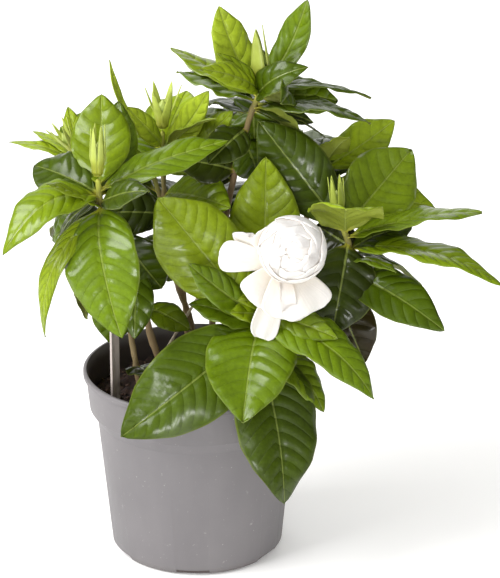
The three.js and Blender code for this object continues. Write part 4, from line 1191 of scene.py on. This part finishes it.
def soil(finishes):
    edge = LIP_UNDER_RADIUS - POT_WALL - SOIL_INSET
    outside = [
        (edge - 1.2, SOIL_TOP - 2), (COLLAR_RADIUS - POT_WALL - SOIL_INSET, COLLAR_HEIGHT),
        (COLLAR_FOOT_RADIUS - POT_WALL - SOIL_INSET, COLLAR_FOOT_HEIGHT),
        (POT_BASE_RADIUS - POT_WALL - SOIL_INSET, 2 * POT_FLOOR), (0, 2 * POT_FLOOR),
    ]

    def where(along, beside):
        if along <= SOIL_TOP_SHARE:
            place = on_circle((edge - 1) * along / SOIL_TOP_SHARE, TURN * beside)
            return Vector((place.x, place.y, soil_height(place.x, place.y)))
        radius, height = outside[min(round((along - SOIL_TOP_SHARE) * 20), len(outside) - 1)]
        return on_circle(radius, TURN * beside, height)

    body = new_mesh()
    close_seams(body, lay_chart(body, *SOIL_STEPS, where))
    piece("soil_body", body, finishes[:1], "soil")
    rng = random.Random("crumbs")
    crumbs = new_mesh()
    for _ in range(CRUMB_COUNT):
        x, y, _ = on_circle((edge - 2) * math.sqrt(rng.random()), rng.uniform(0, TURN))
        size = rng.uniform(0.7, 1.7) * (1.6 if rng.random() < 0.12 else 1)
        stretch = Vector((rng.uniform(0.7, 1.7), rng.uniform(0.6, 1.1), rng.uniform(0.5, 0.9))) * size * MM
        place = Matrix.Translation(Vector((x, y, soil_height(x, y) + 0.25 * size)) * MM)
        place @= Matrix.Rotation(rng.uniform(0, TURN), 4, "Z") @ Matrix.Rotation(rng.uniform(-0.6, 0.6), 4, "X")
        place @= Matrix.Diagonal((*stretch, 1))
        made = bmesh.ops.create_icosphere(crumbs, subdivisions=1, radius=1, matrix=place)["verts"]
        for vertex in made:
            shift = Vector((rng.uniform(-1, 1), rng.uniform(-1, 1), rng.uniform(-1, 1)))
            vertex.co += shift * CRUMB_ROUGHNESS * size * MM
    piece("soil_crumbs", crumbs, finishes[1:], "soil")


def plant_label(finish):
    """The bare label: a flat pointed stake with a rounded head and a shallow raised border."""
    bm = new_mesh()
    half = LABEL_WIDTH / 2
    outline = [(0, 0), (half, LABEL_POINT), (half, LABEL_LENGTH), (-half, LABEL_LENGTH), (-half, LABEL_POINT)]
    verts = [bm.verts.new(Vector((x, LABEL_THICKNESS / 2, z)) * MM) for x, z in outline]
    bm.faces.new(verts)
    bmesh.ops.bevel(
        bm, geom=verts[2:4], affect="VERTICES", offset=LABEL_CORNER * MM, segments=6, profile=0.5, material=-1)
    made = bmesh.ops.extrude_face_region(bm, geom=bm.faces[:])["geom"]
    bmesh.ops.translate(
        bm, verts=[v for v in made if isinstance(v, bmesh.types.BMVert)], vec=(0, -LABEL_THICKNESS * MM, 0))
    bmesh.ops.recalc_face_normals(bm, faces=bm.faces)
    broad = [f for f in bm.faces if abs(f.normal.y) > 0.9]
    bmesh.ops.inset_individual(bm, faces=broad, thickness=LABEL_BORDER * MM, depth=0)
    broad = [f for f in bm.faces if abs(f.normal.y) > 0.9 and f.calc_area() > 200 * MM * MM]
    bmesh.ops.inset_individual(bm, faces=broad, thickness=2 * LABEL_STEP * MM, depth=-LABEL_STEP * MM)
    rims = [e for e in bm.edges if e.is_manifold and e.calc_face_angle() > 1.2]
    bmesh.ops.bevel(bm, geom=rims, affect="EDGES", offset=0.2 * MM, segments=2, profile=0.5, material=-1)
    place = Matrix.Translation(LABEL_MIDDLE * MM) @ Matrix.Rotation(LABEL_TURN, 4, "Z")
    bmesh.ops.transform(bm, matrix=place, verts=bm.verts)
    piece("bare_label", bm, [finish], "plant_label")


def thin_cane(finish):
    bm = new_mesh()
    centres = [CANE_FOOT.lerp(CANE_TOP, step / CANE_STEPS) for step in range(CANE_STEPS + 1)]

    def radius(along, beside):
        return CANE_RADIUS * (0.97 + 0.05 * math.sin(TURN * (3 * beside + 2 * along))) * pinch(along)

    close_seams(bm, tube(bm, centres, radius, CANE_SIDES, CANE_STEPS))
    piece("cane", bm, [finish], "thin_cane")


# The studio

def floor():
    made = Finish("pale_floor")
    cloud = made.grain(2, 2)
    colour = made.mix(cloud, (0.93, 0.925, 0.92), (0.96, 0.955, 0.95))
    finish = made.surface(
        colour, 0.8, specular_ior_level=0.1, emission_color=(1, 1, 1, 1),
        emission_strength=FLOOR_GLOW)
    bm = bmesh.new()
    bmesh.ops.create_grid(bm, x_segments=1, y_segments=1, size=FLOOR_REACH)
    mesh_object("floor", bm, [finish])


def look_at_plant(name, data, place):
    """Puts a light or a camera at a place in metres, turned to the plant."""
    made = add_object(name, data)
    made.location = place
    made.rotation_mode = "QUATERNION"
    made.rotation_quaternion = (Vector(place) - AIM).to_track_quat("Z", "Y")
    return made


def softbox(name, place, size, power):
    """A square soft light."""
    light = bpy.data.lights.new(name, "AREA")
    light.size = size
    light.energy = power
    look_at_plant(name, light, place).visible_camera = False


def daylight():
    """A white backdrop and an even light all round. Gloss mirrors dim walls instead, so that it stays clear."""
    world = bpy.data.worlds.new("studio")
    world.use_nodes = True
    nodes, links = world.node_tree.nodes, world.node_tree.links
    ray = nodes.new("ShaderNodeLightPath")
    seen = nodes["Background"]
    seen.inputs["Strength"].default_value = AMBIENT
    seen.inputs["Color"].default_value = (1, 0.995, 0.985, 1)
    for kind, strength in (("Is Glossy Ray", DARK_WALLS), ("Is Camera Ray", BACKDROP)):
        other = nodes.new("ShaderNodeBackground")
        other.inputs["Strength"].default_value = strength
        other.inputs["Color"].default_value = (1, 1, 1, 1)
        joined = nodes.new("ShaderNodeMixShader")
        links.new(ray.outputs[kind], joined.inputs[0])
        links.new(seen.outputs[0], joined.inputs[1])
        links.new(other.outputs[0], joined.inputs[2])
        seen = joined
    links.new(seen.outputs[0], nodes["World Output"].inputs["Surface"])
    bpy.context.scene.world = world


def studio():
    daylight()
    softbox("key", (-1.15, -0.5, 1.2), 1.1, 36)
    softbox("back", (-0.3, 1.9, 1.05), 2.0, 20)
    softbox("front", (-0.2, -1.8, 0.2), 0.4, 10)
    softbox("front_right", (0.33, -1.8, 0.15), 0.25, 5)
    back = Vector((0, -math.cos(CAMERA_HEIGHT), math.sin(CAMERA_HEIGHT)))
    camera = bpy.data.cameras.new("camera")
    camera.lens = CAMERA_LENS
    camera.sensor_width = CAMERA_SENSOR
    camera.clip_end = 20
    bpy.context.scene.camera = look_at_plant("camera", camera, AIM + back * CAMERA_DISTANCE)
    bpy.context.scene.view_settings.view_transform = "Standard"


def potted_gardenia():
    foliage = [blade_finish("leaf_top", False), blade_finish("leaf_underside", True), bark_finish()]
    for shoot in SHOOTS:
        leafy_stem(shoot, foliage)
    green, cream, white = calyx_finish(), folded_petal_finish(), petal_finish()
    for bud in BUDS:
        flower_bud(bud, [green, cream])
    bloom([white, green])
    pot(pot_finish())
    soil([
        soil_finish("peat", (0.012, 0.006, 0.005), (0.05, 0.022, 0.014)),
        soil_finish("peat_crumbs", (0.018, 0.009, 0.006), (0.11, 0.055, 0.032)),
    ])
    plant_label(label_finish())
    thin_cane(cane_finish())


studio()
floor()
potted_gardenia()
